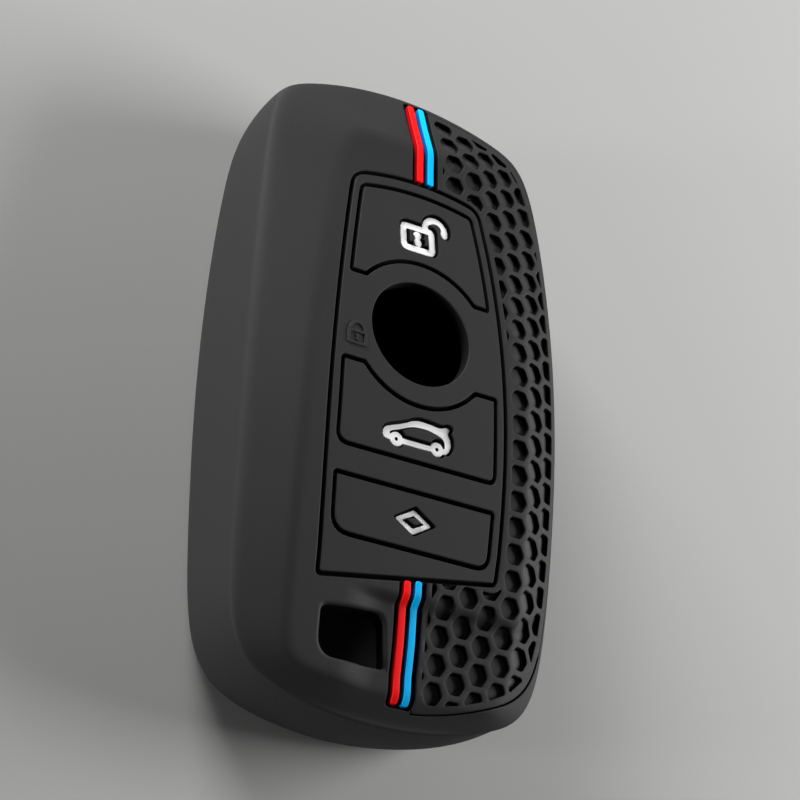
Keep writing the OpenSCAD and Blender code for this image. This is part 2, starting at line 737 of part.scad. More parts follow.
module unlock_web() color(darker)
    web_body(unlock_outline(-groove_w / 2), unlock_outline(groove_w / 2 - web_clear));
module boot_web() color(darker)
    web_body(boot_outline(-groove_w / 2), boot_outline(groove_w / 2 - web_clear));
module diamond_web() color(darker)
    web_body(diamond_outline(-groove_w / 2), diamond_outline(groove_w / 2 - web_clear));

module unlock_sign_body() color(white)
    sign_body(lock_centre) translate(-lock_centre) unlock_frame_drawing(0);
module unlock_sign_shackle() color(white)
    sign_body(lock_centre) translate(-lock_centre) unlock_shackle_drawing(0);
module unlock_sign_keyhole() color(white)
    sign_body(lock_centre) translate(-lock_centre) unlock_keyhole_drawing(0);
module boot_sign() color(white) {
    difference() {
        union() {
            sign_body(car_centre) translate(-car_centre) car_drawing(0);
            sign_body(car_centre) translate(-car_centre) wheels_drawing(0);
        }
        sign_recess(car_centre) translate(-car_centre) wheel_holes_drawing();
    }
}
module diamond_sign() color(white)
    sign_body(diamond_sign_centre) translate(-diamond_sign_centre) diamond_drawing(0);

module lock_mark_body() color(dark)
    mark_layer() frame_drawing(mark_centre, mark_w, mark_h, mark_line, mark_corner, 0);
module lock_mark_shackle() color(dark)
    mark_layer() mark_shackle_drawing();
module lock_mark_keyhole() color(dark)
    mark_layer() keyhole_drawing(mark_centre, mark_keyhole_d, mark_keyhole_half, mark_keyhole_neck, 0);

module red_rib_top() color(red) rib_body(rib_x, rib_top_y, panel_top_y - rib_root);
module blue_rib_top() color(azure) rib_body(blue_x, rib_top_y, panel_top_y - rib_root);
module red_rib_bottom() color(red) rib_body(rib_x, rib_bottom_y, panel_bottom_y + rib_root);
module blue_rib_bottom() color(azure) rib_body(blue_x, rib_bottom_y, panel_bottom_y + rib_root);

shell();
honeycomb_band();
keypad_panel();
unlock_button();
boot_button();
diamond_button();
unlock_web();
boot_web();
diamond_web();
unlock_sign_body();
unlock_sign_shackle();
unlock_sign_keyhole();
boot_sign();
diamond_sign();
lock_mark_body();
lock_mark_shackle();
lock_mark_keyhole();
red_rib_top();
blue_rib_top();
red_rib_bottom();
blue_rib_bottom();
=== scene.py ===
"""Looks of the silicone key fob cover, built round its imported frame.

Lengths are in metres in the frame of the part: X across the cover, Y along it with the
rounded top end at +Y, and Z out of the front. Every piece of the front is modelled flat,
with its surface at height 0, and is then laid over the crowned front of the cover.
"""

import logging
import math
from dataclasses import dataclass, field
from enum import Enum, IntEnum
from typing import Callable, Iterable, Sequence, TypeVar

import bmesh
import bpy
from mathutils import Matrix, Quaternion, Vector
from mathutils.bvhtree import BVHTree


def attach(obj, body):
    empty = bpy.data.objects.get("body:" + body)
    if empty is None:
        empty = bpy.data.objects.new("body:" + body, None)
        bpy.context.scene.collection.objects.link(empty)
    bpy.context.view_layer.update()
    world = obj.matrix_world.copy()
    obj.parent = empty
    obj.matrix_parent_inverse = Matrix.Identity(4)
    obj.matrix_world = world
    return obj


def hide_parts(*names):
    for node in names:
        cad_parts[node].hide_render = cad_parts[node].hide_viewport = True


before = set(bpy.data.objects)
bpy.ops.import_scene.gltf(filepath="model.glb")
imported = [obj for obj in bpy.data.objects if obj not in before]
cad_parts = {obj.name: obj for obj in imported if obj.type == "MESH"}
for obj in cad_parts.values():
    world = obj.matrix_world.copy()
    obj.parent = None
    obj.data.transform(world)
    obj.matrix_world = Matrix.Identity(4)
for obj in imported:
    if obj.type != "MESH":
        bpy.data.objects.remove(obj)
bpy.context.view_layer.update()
LOG = logging.getLogger("key_fob_cover")

MM = 0.001
TINY = 1e-6
ACROSS, ALONG = 0, 1

Outline = Callable[[float], list[Vector]]
Height = Callable[[float, float], float]
Corner = tuple[Vector, float]
Shares = Sequence[tuple[float, float]]
Mixed = TypeVar("Mixed", float, Vector)


def mix(a: Mixed, b: Mixed, share: float) -> Mixed:
    """The number or point that lies at a share of the way from a to b."""
    return a + (b - a) * share


def unit_clamp(value: float) -> float:
    """The value, kept between 0 and 1."""
    return max(0.0, min(1.0, value))


def soft_step(value: float) -> float:
    """A smooth rise from 0 to 1 while the value goes from 0 to 1."""
    t = unit_clamp(value)
    return t * t * (3 - 2 * t)


def spread(value: float, pull: float) -> float:
    """Draws an even place between -1 and 1 towards the ends, where outlines turn."""
    return value * (1 + pull) - pull * value ** 3


def bend(start: Vector, tip: Vector, end: Vector, share: float) -> Vector:
    """A point of the soft curve that leaves start and reaches end, and turns near the tip."""
    return mix(mix(start, tip, share), mix(tip, end, share), share)


class Slot(IntEnum):
    """Material slots of a silicone piece; WALL mostly takes painted shade, FLOOR painted light."""

    SURFACE = 0
    WALL = 1
    FLOOR = 2


class Way(Enum):
    """What a boolean modifier does with its second solid."""

    CUT = "DIFFERENCE"
    JOIN = "UNION"


@dataclass(frozen=True)
class Step:
    """One ring of a moulded edge.

    Attributes:
        inset: How far the ring lies inside the outline.
        height: Its height over the surface.
        slot: The material slot of the strip between this ring and the one before it.
    """

    inset: float
    height: float
    slot: Slot = Slot.SURFACE


class Bench:
    """Blender's modelling tools, used as by hand.

    Attributes:
        EDGE_ANGLE: Faces that meet at less than this are shaded as one.
        WEIGHT: How strongly the large faces lead the shading.
    """

    EDGE_ANGLE = math.radians(38)
    WEIGHT = 60

    materials: list[bpy.types.Material] = []

    @classmethod
    def give_slots(cls, piece: bpy.types.Object) -> None:
        """Gives a new piece its material slots, which booleans keep."""
        for material in cls.materials:
            piece.data.materials.append(material)

    @staticmethod
    def clear() -> None:
        """Leaves nothing selected."""
        bpy.ops.object.select_all(action="DESELECT")

    @classmethod
    def pick(cls, piece: bpy.types.Object) -> None:
        """Makes the piece the only selected and active object.

        Args:
            piece: The piece to be worked on.
        """
        cls.clear()
        piece.select_set(True)
        bpy.context.view_layer.objects.active = piece

    @staticmethod
    def close_edit() -> None:
        """Turns all faces of the edited piece outwards and leaves edit mode."""
        bpy.ops.mesh.select_all(action="SELECT")
        bpy.ops.mesh.normals_make_consistent(inside=False)
        bpy.ops.object.mode_set(mode="OBJECT")

    @classmethod
    def slab(cls, name: str, outline: Outline, steps: Sequence[Step]) -> bpy.types.Object:
        """Models a closed solid ring by ring, from its foot to its top.

        Args:
            name: Name of the new object.
            outline: Gives the closed outline for an inset, always with as many points.
            steps: The rings from the lowest to the highest.

        Returns:
            The new object.
        """
        cls.clear()
        first = outline(steps[0].inset)
        bpy.ops.mesh.primitive_circle_add(vertices=len(first), fill_type="NGON")
        piece = bpy.context.active_object
        piece.name = name
        cls.give_slots(piece)
        bpy.ops.object.mode_set(mode="EDIT")
        mesh = bmesh.from_edit_mesh(piece.data)
        order = mesh.verts.layers.int.new("order")
        mesh.verts.layers.int.new("level")
        for vert in mesh.verts:
            vert[order] = vert.index
        cls._place(mesh, first, 0, steps[0].height)
        bpy.ops.mesh.select_all(action="SELECT")
        for number, step in enumerate(steps[1:], 1):
            bpy.ops.mesh.extrude_region_move()
            mesh = bmesh.from_edit_mesh(piece.data)
            cls._place(mesh, outline(step.inset), number, step.height)
        level = mesh.verts.layers.int["level"]
        for face in mesh.faces:
            number = max(vert[level] for vert in face.verts)
            face.material_index = int(steps[number].slot)
        for layer in ("order", "level"):
            mesh.verts.layers.int.remove(mesh.verts.layers.int[layer])
        bmesh.update_edit_mesh(piece.data)
        cls.close_edit()
        return piece

    @staticmethod
    def _place(mesh: bmesh.types.BMesh, ring: Sequence[Vector], number: int,
               height: float) -> None:
        """Puts the selected ring of vertices where the outline wants it.

        Args:
            mesh: The mesh in edit mode.
            ring: The outline's points.
            number: Which ring it is. All vertices belong to ring 0.
            height: Its height over the surface.
        """
        order = mesh.verts.layers.int["order"]
        level = mesh.verts.layers.int["level"]
        for vert in mesh.verts:
            if vert.select or number == 0:
                point = ring[vert[order]]
                vert.co = (point.x, point.y, height)
                vert[level] = number

    @classmethod
    def boolean(cls, piece: bpy.types.Object, tool: bpy.types.Object, way: Way) -> None:
        """Cuts the tool out of the piece or joins it on, and uses the tool up.

        Args:
            piece: The piece that stays.
            tool: The second solid, which is deleted afterwards.
            way: Whether it is cut out or joined on.
        """
        modifier = piece.modifiers.new(way.name, "BOOLEAN")
        modifier.operation = way.value
        modifier.solver = "MANIFOLD"
        modifier.object = tool
        cls.pick(piece)
        bpy.ops.object.modifier_apply(modifier=modifier.name)
        bpy.data.objects.remove(tool)

    @classmethod
    def slice(cls, piece: bpy.types.Object, axis: int, spacing: float, low: float,
              high: float) -> None:
        """Divides the piece into strips, so that it can follow a curved surface.

        Args:
            piece: The piece.
            axis: The axis that the cuts stand across.
            spacing: About how wide the strips are.
            low: Where the lowest strip starts.
            high: Where the highest strip ends.
        """
        cls.pick(piece)
        bpy.ops.object.mode_set(mode="EDIT")
        normal = tuple(1.0 if i == axis else 0.0 for i in range(3))
        count = max(1, round((high - low) / spacing))
        for number in range(1, count):
            place = mix(low, high, number / count)
            bpy.ops.mesh.select_all(action="SELECT")
            bpy.ops.mesh.bisect(plane_co=tuple(place * n for n in normal), plane_no=normal)
        bpy.ops.object.mode_set(mode="OBJECT")

    @staticmethod
    def drape(piece: bpy.types.Object, height: Height) -> None:
        """Lays a flat piece over a curved surface."""
        for vert in piece.data.vertices:
            vert.co.z += height(vert.co.x, vert.co.y)

    @classmethod
    def fit(cls, piece: bpy.types.Object, height: Height, spacing: float,
            axes: Iterable[int] = (ALONG,)) -> None:
        """Slices a flat piece from end to end and lays it over a curved surface.

        Args:
            piece: The flat piece.
            height: Height of the surface over a place.
            spacing: About how wide the strips are.
            axes: The axes that the cuts stand across.
        """
        for axis in axes:
            places = [vert.co[axis] for vert in piece.data.vertices]
            cls.slice(piece, axis, spacing, min(places), max(places))
        cls.drape(piece, height)

    @classmethod
    def join(cls, pieces: Sequence[bpy.types.Object]) -> bpy.types.Object:
        """Makes one object of several.

        Args:
            pieces: The objects, the first of which stays.

        Returns:
            The joined object.
        """
        cls.clear()
        for piece in pieces:
            piece.select_set(True)
        bpy.context.view_layer.objects.active = pieces[0]
        bpy.ops.object.join()
        return pieces[0]

    @classmethod
    def finish(cls, piece: bpy.types.Object) -> None:
        """Closes seams, turns the faces outwards and shades the piece between its edges.

        Args:
            piece: The modelled piece.
        """
        cls.pick(piece)
        bpy.ops.object.mode_set(mode="EDIT")
        bpy.ops.mesh.select_all(action="SELECT")
        bpy.ops.mesh.remove_doubles(threshold=TINY)
        cls.close_edit()
        bpy.ops.object.shade_smooth_by_angle(angle=cls.EDGE_ANGLE)
        modifier = piece.modifiers.new("weights", "WEIGHTED_NORMAL")
        modifier.keep_sharp = True
        modifier.weight = cls.WEIGHT
        bpy.ops.object.modifier_apply(modifier=modifier.name)


EDGE_TURNS = 4
CUTTER_OVER = 0.5 * MM


def quarter_turn(turns: int) -> list[tuple[float, float]]:
    """The cosines and sines of a quarter turn in even steps, without its start."""
    angles = [math.pi / 2 * turn / turns for turn in range(1, turns + 1)]
    return [(math.cos(angle), math.sin(angle)) for angle in angles]


def rounded_top(depth: float, radius: float, outer: float, slot: Slot = Slot.WALL,
                rise: float = 0.0, turns: int = EDGE_TURNS) -> list[Step]:
    """Rings of a piece with a straight wall and a rounded upper edge.

    Args:
        depth: How far the foot lies under the surface.
        radius: Radius of the rounded edge.
        outer: Inset of the wall.
        slot: Material slot of the wall.
        rise: Height of the top over the surface, negative where the piece is let in.
        turns: Number of strips of the rounded edge.

    Returns:
        The rings from the foot to the top.
    """
    steps = [Step(outer, -depth), Step(outer, rise - radius, slot)]
    for cosine, sine in quarter_turn(turns):
        steps.append(Step(outer + radius * (1 - cosine), rise - radius * (1 - sine)))
    return steps


def flared_cut(depth: float, radius: float, inner: float, slot: Slot = Slot.WALL,
               floor: Slot = Slot.WALL, turns: int = EDGE_TURNS) -> list[Step]:
    """Rings of a cutter that leaves a rounded edge where it leaves the surface.

    Args:
        depth: How deep it cuts.
        radius: Radius of the edge that it leaves.
        inner: Inset of its straight wall.
        slot: Material slot of the wall that it leaves.
        floor: Material slot of the floor that it leaves.
        turns: Number of strips of the rounded edge.

    Returns:
        The rings from the foot to the top, which stands out of the surface.
    """
    steps = [Step(inner, -depth, floor), Step(inner, -radius, slot)]
    for cosine, sine in quarter_turn(turns):
        steps.append(Step(inner - radius * (1 - cosine), -radius * (1 - sine)))
    steps.append(Step(steps[-1].inset, CUTTER_OVER))
    return steps


def lifted(steps: Sequence[Step], rise: float) -> list[Step]:
    """The rings, all moved up, or down where the rise is negative."""
    return [Step(step.inset, step.height + rise, step.slot) for step in steps]


CORNER_STEPS = 6
LEAST_CORNER = 0.04 * MM
CUT_SHARES = (0.25, 0.75)
CUT_ROUNDS = 2
MITRE = 1.6


def corner(before: Vector, tip: Vector, after: Vector, size: float) -> list[Vector]:
    """Draws a soft corner.

    Args:
        before: The outline's point before the tip.
        tip: The tip that is softened.
        after: The outline's point after the tip.
        size: How far from the tip the corner starts and ends.

    Returns:
        The points of the corner.
    """
    start = tip + (before - tip).normalized() * size
    end = tip + (after - tip).normalized() * size
    return [bend(start, tip, end, number / CORNER_STEPS) for number in range(CORNER_STEPS + 1)]


def rounded(points: Sequence[Corner]) -> list[Vector]:
    """Softens the corners of a closed outline.

    Args:
        points: The tips and the sizes of their soft corners, where 0 keeps the tip.

    Returns:
        The points of the softened outline.
    """
    result = []
    for number, (tip, size) in enumerate(points):
        if size > 0:
            before = points[number - 1][0]
            after = points[(number + 1) % len(points)][0]
            result += corner(before, tip, after, size)
        else:
            result.append(tip.copy())
    return result


def arc(centre: Vector, radius: float, start: float, end: float, steps: int) -> list[Vector]:
    """Draws an arc.

    Args:
        centre: Its centre.
        radius: Its radius.
        start: The angle where it starts, in degrees.
        end: The angle where it ends, in degrees.
        steps: Number of even steps between them.

    Returns:
        The points of the arc, with both ends.
    """
    angles = [math.radians(mix(start, end, number / steps)) for number in range(steps + 1)]
    return [centre + radius * Vector((math.cos(angle), math.sin(angle))) for angle in angles]


def disc(centre: Vector, radius: float, count: int) -> Outline:
    """The outline of a round piece, with a number of points."""
    return lambda inset: arc(centre, radius - inset, 0, 360 * (1 - 1 / count), count - 1)


def softened(points: Sequence[Vector]) -> list[Vector]:
    """Cuts the corners of a closed outline again and again.

    Args:
        points: The outline's points.

    Returns:
        The points of the smooth outline.
    """
    result = list(points)
    for _ in range(CUT_ROUNDS):
        pairs = zip(result, result[1:] + result[:1])
        result = [mix(a, b, share) for a, b in pairs for share in CUT_SHARES]
    return result


def inset_by(points: Sequence[Vector], inset: float) -> list[Vector]:
    """Moves a closed outline inwards, with the reach of its sharp tips limited.

    Args:
        points: The outline's points, anticlockwise.
        inset: How far it is moved, negative for outwards.

    Returns:
        The moved points.
    """
    result = []
    for number, tip in enumerate(points):
        before = (tip - points[number - 1]).normalized()
        after = (points[(number + 1) % len(points)] - tip).normalized()
        across = Vector((-before.y - after.y, before.x + after.x))
        half = max(across.length / 2, TINY)
        result.append(tip + across.normalized() * inset * min(1 / half, MITRE))
    return result


def box_outline(low: Vector, high: Vector, size: float) -> Outline:
    """Gives the outline of a rectangle with soft corners.

    Args:
        low: Its lower left corner.
        high: Its upper right corner.
        size: Size of its soft corners.

    Returns:
        The outline.
    """
    def outline(inset: float) -> list[Vector]:
        """The rectangle for an inset.

        Args:
            inset: How far it is moved inwards.

        Returns:
            The outline's points.
        """
        left, right = low.x + inset, high.x - inset
        foot, top = low.y + inset, high.y - inset
        tips = [(left, foot), (right, foot), (right, top), (left, top)]
        return rounded([(Vector(tip), max(size - inset, LEAST_CORNER)) for tip in tips])
    return outline


def kept_inside(subject: Sequence[Vector], cell: Sequence[Vector]) -> list[Vector]:
    """Finds the part of an outline that lies inside a convex cell.

    Args:
        subject: The outline's points.
        cell: The cell's points, anticlockwise.

    Returns:
        The points of the part, or none where the two don't meet.
    """
    result = list(subject)
    for number, start in enumerate(cell):
        along = cell[(number + 1) % len(cell)] - start
        sides = [along.x * (p.y - start.y) - along.y * (p.x - start.x) for p in result]
        clipped = []
        for k, point in enumerate(result):
            before, side, side_before = result[k - 1], sides[k], sides[k - 1]
            if (side >= 0) != (side_before >= 0):
                clipped.append(mix(before, point, side_before / (side_before - side)))
            if side >= 0:
                clipped.append(point)
        result = clipped
        if len(result) < 3:
            return []
    return result


@dataclass(frozen=True)
class EndedOutline:
    """An outline that narrows towards both ends, whose ends bow outwards in the middle.

    It is widest at middle_y and reaches up and down from there. The powers say how square
    its corners are.
    """

    half_width: float
    middle_y: float
    reach_up: float
    reach_down: float
    narrow_up: float
    narrow_down: float
    power_up: float
    power_down: float
    bow_up: float
    bow_down: float

    def at(self, place: Vector, grow: float = 0.0) -> Vector:
        """Finds the point for a place in the square from -1 to 1, whose rim is the outline.

        Args:
            place: The place in the square.
            grow: How far the outline is moved outwards.

        Returns:
            The point.
        """
        up = place.y >= 0
        power = self.power_up if up else self.power_down
        size = max(abs(place.x), abs(place.y))
        if size < TINY:
            return Vector((0, self.middle_y))
        radius = (abs(place.x / size) ** power + abs(place.y / size) ** power) ** (-1 / power)
        u, v = place.x * radius, place.y * radius
        narrow = self.narrow_up if up else self.narrow_down
        reach = self.reach_up if up else self.reach_down
        bow = self.bow_up if up else self.bow_down
        return Vector((u * (self.half_width + grow - narrow * v * v),
                       self.middle_y + v * (reach + grow - bow * u * u)))


@dataclass(frozen=True)
class CoverForm:
    """The sizes of the whole cover and the shape of its outer skin.

    The skin has a raised face, a bevel round it, side walls down to the widest line, which
    is the waist, and a rounded edge from there to the back. LEAN_SHARES gives the lean of
    the ribs: places along the cover as shares of its length, and the leans there as shares
    of lean_reach.
    """

    length: float = 73.5 * MM
    width: float = 38.2 * MM
    thickness: float = 18.4 * MM
    wall: float = 1.6 * MM
    waist_y: float = -5 * MM
    waist_z: float = 11.4 * MM
    back_inset: float = 3 * MM
    crown_radius: float = 152 * MM
    top_lift: float = 0.9 * MM
    lift_y: float = 20 * MM
    lift_length: float = 8.55 * MM
    face_width: float = 27.3 * MM
    face_middle_y: float = -13.3 * MM
    top_bevel: float = 8.2 * MM
    bottom_bevel: float = 2.9 * MM
    bevel_drop: float = 2.85 * MM
    edge_crown_radius: float = 215 * MM
    edge_crown_y: float = 4 * MM
    step_drop: float = 0.8 * MM
    step_y: float = -23.9 * MM
    step_length: float = 1.2 * MM
    step_fade_x: float = -7 * MM
    step_fade_width: float = 5 * MM
    narrow_up: float = 3 * MM
    narrow_down: float = 0.85 * MM
    top_bow: float = 3.8 * MM
    bottom_bow: float = 3.9 * MM
    edge_in_side: float = 0.05 * MM
    edge_in_top: float = 0.65 * MM
    edge_in_bottom: float = 0.55 * MM
    edge_bow: float = 2.8 * MM
    face_narrow_up: float = 5.1 * MM
    face_narrow_down: float = 0.55 * MM
    face_top_bow: float = 0.1 * MM
    face_bottom_bow: float = 0.5 * MM
    face_soft: float = 0.9 * MM
    waist_powers: tuple[float, float] = (16, 8)
    edge_powers: tuple[float, float] = (14, 10)
    face_powers: tuple[float, float] = (12, 12)
    bevel_start_share: float = 0.13
    bevel_end_share: float = 0.8
    wall_start_share: float = 0.36
    lean_reach: float = 0.8 * MM

    LEAN_SHARES = ((-0.5, 0.75), (-0.48, 0.59), (-0.435, 0.13), (-0.39, 0.04), (-0.31, -0.43),
                   (0.327, 0.1), (0.4, 0.12), (0.44, 0.37), (0.49, 0.82), (0.51, 0.95))

    def lean(self, y: float) -> float:
        """Finds how far the ribs and the band's left edge stand from their plain place.

        Args:
            y: Place along the cover.

        Returns:
            The distance, positive to the right.
        """
        share, rows = y / self.length, self.LEAN_SHARES
        before = ([row for row in rows if row[0] <= share] or rows[:1])[-1]
        after = ([row for row in rows if row[0] >= share] or rows[-1:])[0]
        if after[0] <= before[0]:
            return self.lean_reach * before[1]
        part = (share - before[0]) / (after[0] - before[0])
        return self.lean_reach * mix(before[1], after[1], part)

    def lean_places(self, low: float, high: float) -> list[float]:
        """The ends of a range along the cover, and the places between where the lean bends."""
        between = [share * self.length for share, _ in self.LEAN_SHARES]
        return [low, *[y for y in between if low < y < high], high]

    @property
    def waist(self) -> EndedOutline:
        """The widest outline of the cover."""
        half = self.length / 2
        return EndedOutline(self.width / 2, self.waist_y, half - self.waist_y,
                            half + self.waist_y, self.narrow_up, self.narrow_down,
                            *self.waist_powers, self.top_bow, self.bottom_bow)

    @property
    def edge(self) -> EndedOutline:
        """The outer edge of the bevel."""
        half = self.length / 2
        return EndedOutline(self.width / 2 - self.edge_in_side, self.waist_y,
                            half - self.waist_y - self.edge_in_top,
                            half + self.waist_y - self.edge_in_bottom,
                            self.narrow_up, self.narrow_down,
                            *self.edge_powers, self.top_bow, self.edge_bow)

    @property
    def face(self) -> EndedOutline:
        """The edge of the raised face."""
        half = self.length / 2
        return EndedOutline(self.face_width / 2, self.face_middle_y,
                            half - self.top_bevel - self.face_middle_y,
                            half - self.bottom_bevel + self.face_middle_y,
                            self.face_narrow_up, self.face_narrow_down,
                            *self.face_powers, self.face_top_bow, self.face_bottom_bow)

    def crown(self, x: float, y: float) -> float:
        """Height of the crowned face without its step, the same at every place across."""
        lift = self.top_lift * unit_clamp((y - self.lift_y) / self.lift_length) ** 2
        return self.thickness - y * y / (2 * self.crown_radius) + lift

    def face_height(self, x: float, y: float) -> float:
        """Finds the height of the raised face, with the soft step near the bottom end.

        Args:
            x: Place across the cover.
            y: Place along the cover.

        Returns:
            The height over the back.
        """
        down = soft_step((self.step_y - y) / self.step_length)
        side = soft_step((x - self.step_fade_x) / self.step_fade_width)
        return self.crown(x, y) - self.step_drop * down * side

    def edge_height(self, y: float) -> float:
        """Height of the bevel's outer edge."""
        fall = (y - self.edge_crown_y) ** 2 / (2 * self.edge_crown_radius)
        return self.thickness - self.bevel_drop - fall

    @property
    def bevel_tilt(self) -> float:
        """Slope of the bevel."""
        return math.atan(self.bevel_drop / (self.width / 2 - self.face_width / 2))

    def face_point(self, place: Vector, grow: float, offset: float) -> Vector:
        """A point of the face's edge, for a skin moved outwards by an offset."""
        flat = self.face.at(place, grow)
        return Vector((flat.x, flat.y, self.face_height(flat.x, flat.y) + offset))

    def edge_point(self, place: Vector, offset: float) -> Vector:
        """Finds a point of the bevel's outer edge.

        Args:
            place: The place on the rim of the square.
            offset: How far the skin is moved outwards.

        Returns:
            The point.
        """
        flat = self.edge.at(place, offset)
        rise = offset * math.tan((math.pi / 2 - self.bevel_tilt) / 2)
        return Vector((flat.x, flat.y, self.edge_height(flat.y) + rise))

    def bevel_point(self, place: Vector, offset: float, share: float) -> Vector:
        """A point of the bevel, at a share of the way from the face to its outer edge."""
        start = self.face_point(place, offset * math.tan(self.bevel_tilt / 2), offset)
        return mix(start, self.edge_point(place, offset), share)

    def wall_point(self, place: Vector, offset: float, share: float) -> Vector:
        """Finds a point of the side wall.

        Args:
            place: The place on the rim of the square.
            offset: How far the skin is moved outwards.
            share: Share of the way down from the bevel to the waist.

        Returns:
            The point.
        """
        start = self.edge_point(place, offset)
        flat = self.waist.at(place, offset)
        out, down = math.sin(math.pi / 2 * share), 1 - math.cos(math.pi / 2 * share)
        return Vector((mix(start.x, flat.x, out), mix(start.y, flat.y, out),
                       mix(start.z, self.waist_z, down)))

    def under_point(self, place: Vector, offset: float, share: float) -> Vector:
        """Finds a point of the curve that runs from the waist to the back.

        Args:
            place: The place on the rim of the square.
            offset: How far the skin is moved outwards.
            share: Share of the way down to the back.

        Returns:
            The point.
        """
        angle = math.pi / 2 * share
        flat = self.waist.at(place, offset - self.back_inset * (1 - math.cos(angle)))
        return Vector((flat.x, flat.y, self.waist_z - (self.waist_z + offset) * math.sin(angle)))

    def rows(self, offset: float, fineness: int) -> list[Callable[[Vector], Vector]]:
        """The rows of the skin under the face, as functions of the place on the rim.

        Args:
            offset: How far the skin is moved outwards.
            fineness: Number of rows of each soft edge.

        Returns:
            One function for each row, from the face down to the back.
        """
        grow = offset * math.tan(self.bevel_tilt / 2)
        first, last, curl = self.bevel_start_share, self.bevel_end_share, self.wall_start_share
        rows = []
        for k in range(1, fineness + 1):
            rows.append(lambda p, s=k / fineness: bend(
                self.face_point(p, grow - self.face_soft, offset),
                self.face_point(p, grow, offset), self.bevel_point(p, offset, first), s))
        for k in range(1, fineness):
            rows.append(lambda p, s=mix(first, last, k / fineness): self.bevel_point(p, offset, s))
        for k in range(fineness + 1):
            rows.append(lambda p, s=k / fineness: bend(
                self.bevel_point(p, offset, last), self.edge_point(p, offset),
                self.wall_point(p, offset, curl), s))
        for k in range(1, fineness + 1):
            rows.append(lambda p, s=mix(curl, 1, k / fineness): self.wall_point(p, offset, s))
        for k in range(1, 2 * fineness + 1):
            rows.append(lambda p, s=k / (2 * fineness): self.under_point(p, offset, s))
        return rows


@dataclass
class Skin:
    """The outer form as a closed solid, and the height of its front at any place.

    Attributes:
        fineness: Number of rows of each soft edge.
        corner_pull: How strongly the places are drawn towards the corners.
    """

    form: CoverForm
    across: int = 90
    along: int = 180
    fineness: int = 7
    corner_pull: float = 0.28
    tree: BVHTree | None = field(default=None, init=False)

    def solid(self, name: str, offset: float, slot: Slot) -> bpy.types.Object:
        """Models the skin, moved outwards by an offset, as a closed solid.

        Args:
            name: Name of the new object.
            offset: How far the skin is moved outwards, or inwards where it is negative.
            slot: Material slot of all its faces.

        Returns:
            The new object.
        """
        Bench.clear()
        bpy.ops.mesh.primitive_grid_add(x_subdivisions=self.across, y_subdivisions=self.along,
                                        size=2)
        piece = bpy.context.active_object
        piece.name = name
        Bench.give_slots(piece)
        grow = offset * math.tan(self.form.bevel_tilt / 2) - self.form.face_soft
        bpy.ops.object.mode_set(mode="EDIT")
        mesh = bmesh.from_edit_mesh(piece.data)
        u, v = mesh.verts.layers.float.new("u"), mesh.verts.layers.float.new("v")
        for vert in mesh.verts:
            vert[u], vert[v] = (spread(vert.co[axis], self.corner_pull) for axis in (0, 1))
            vert.co = self.form.face_point(Vector((vert[u], vert[v])), grow, offset)
        rim = [edge for edge in mesh.edges if edge.is_boundary]
        bpy.ops.mesh.select_all(action="DESELECT")
        bpy.ops.mesh.select_mode(type="EDGE")
        for edge in rim:
            edge.select = True
        mesh.select_flush_mode()
        bmesh.update_edit_mesh(piece.data)
        for row in self.form.rows(offset, self.fineness):
            bpy.ops.mesh.extrude_edges_move()
            mesh = bmesh.from_edit_mesh(piece.data)
            u, v = mesh.verts.layers.float["u"], mesh.verts.layers.float["v"]
            for vert in mesh.verts:
                if vert.select:
                    vert.co = row(Vector((vert[u], vert[v])))
        bpy.ops.mesh.edge_face_add()
        mesh = bmesh.from_edit_mesh(piece.data)
        for face in mesh.faces:
            face.material_index = int(slot)
        for layer in ("u", "v"):
            mesh.verts.layers.float.remove(mesh.verts.layers.float[layer])
        bmesh.update_edit_mesh(piece.data)
        bpy.ops.mesh.select_mode(type="VERT")
        Bench.close_edit()
        return piece

    def learn(self, piece: bpy.types.Object) -> None:
        """Keeps the surface of the skin's solid, for later questions about its height.

        Args:
            piece: The skin's solid.
        """
        mesh = bmesh.new()
        mesh.from_mesh(piece.data)
        self.tree = BVHTree.FromBMesh(mesh)
        mesh.free()

    def height(self, x: float, y: float) -> float:
        """Finds the height of the cover's front over a place.

        Args:
            x: Place across the cover.
            y: Place along the cover.

        Returns:
            The height, or that of the nearest place on the skin where none lies below.
        """
        over = Vector((x, y, 2 * self.form.thickness))
        hit = self.tree.ray_cast(over, Vector((0, 0, -1)))[0]
        if hit is None:
            hit = self.tree.find_nearest(Vector((x, y, self.form.edge_height(y))))[0]
        return hit.z


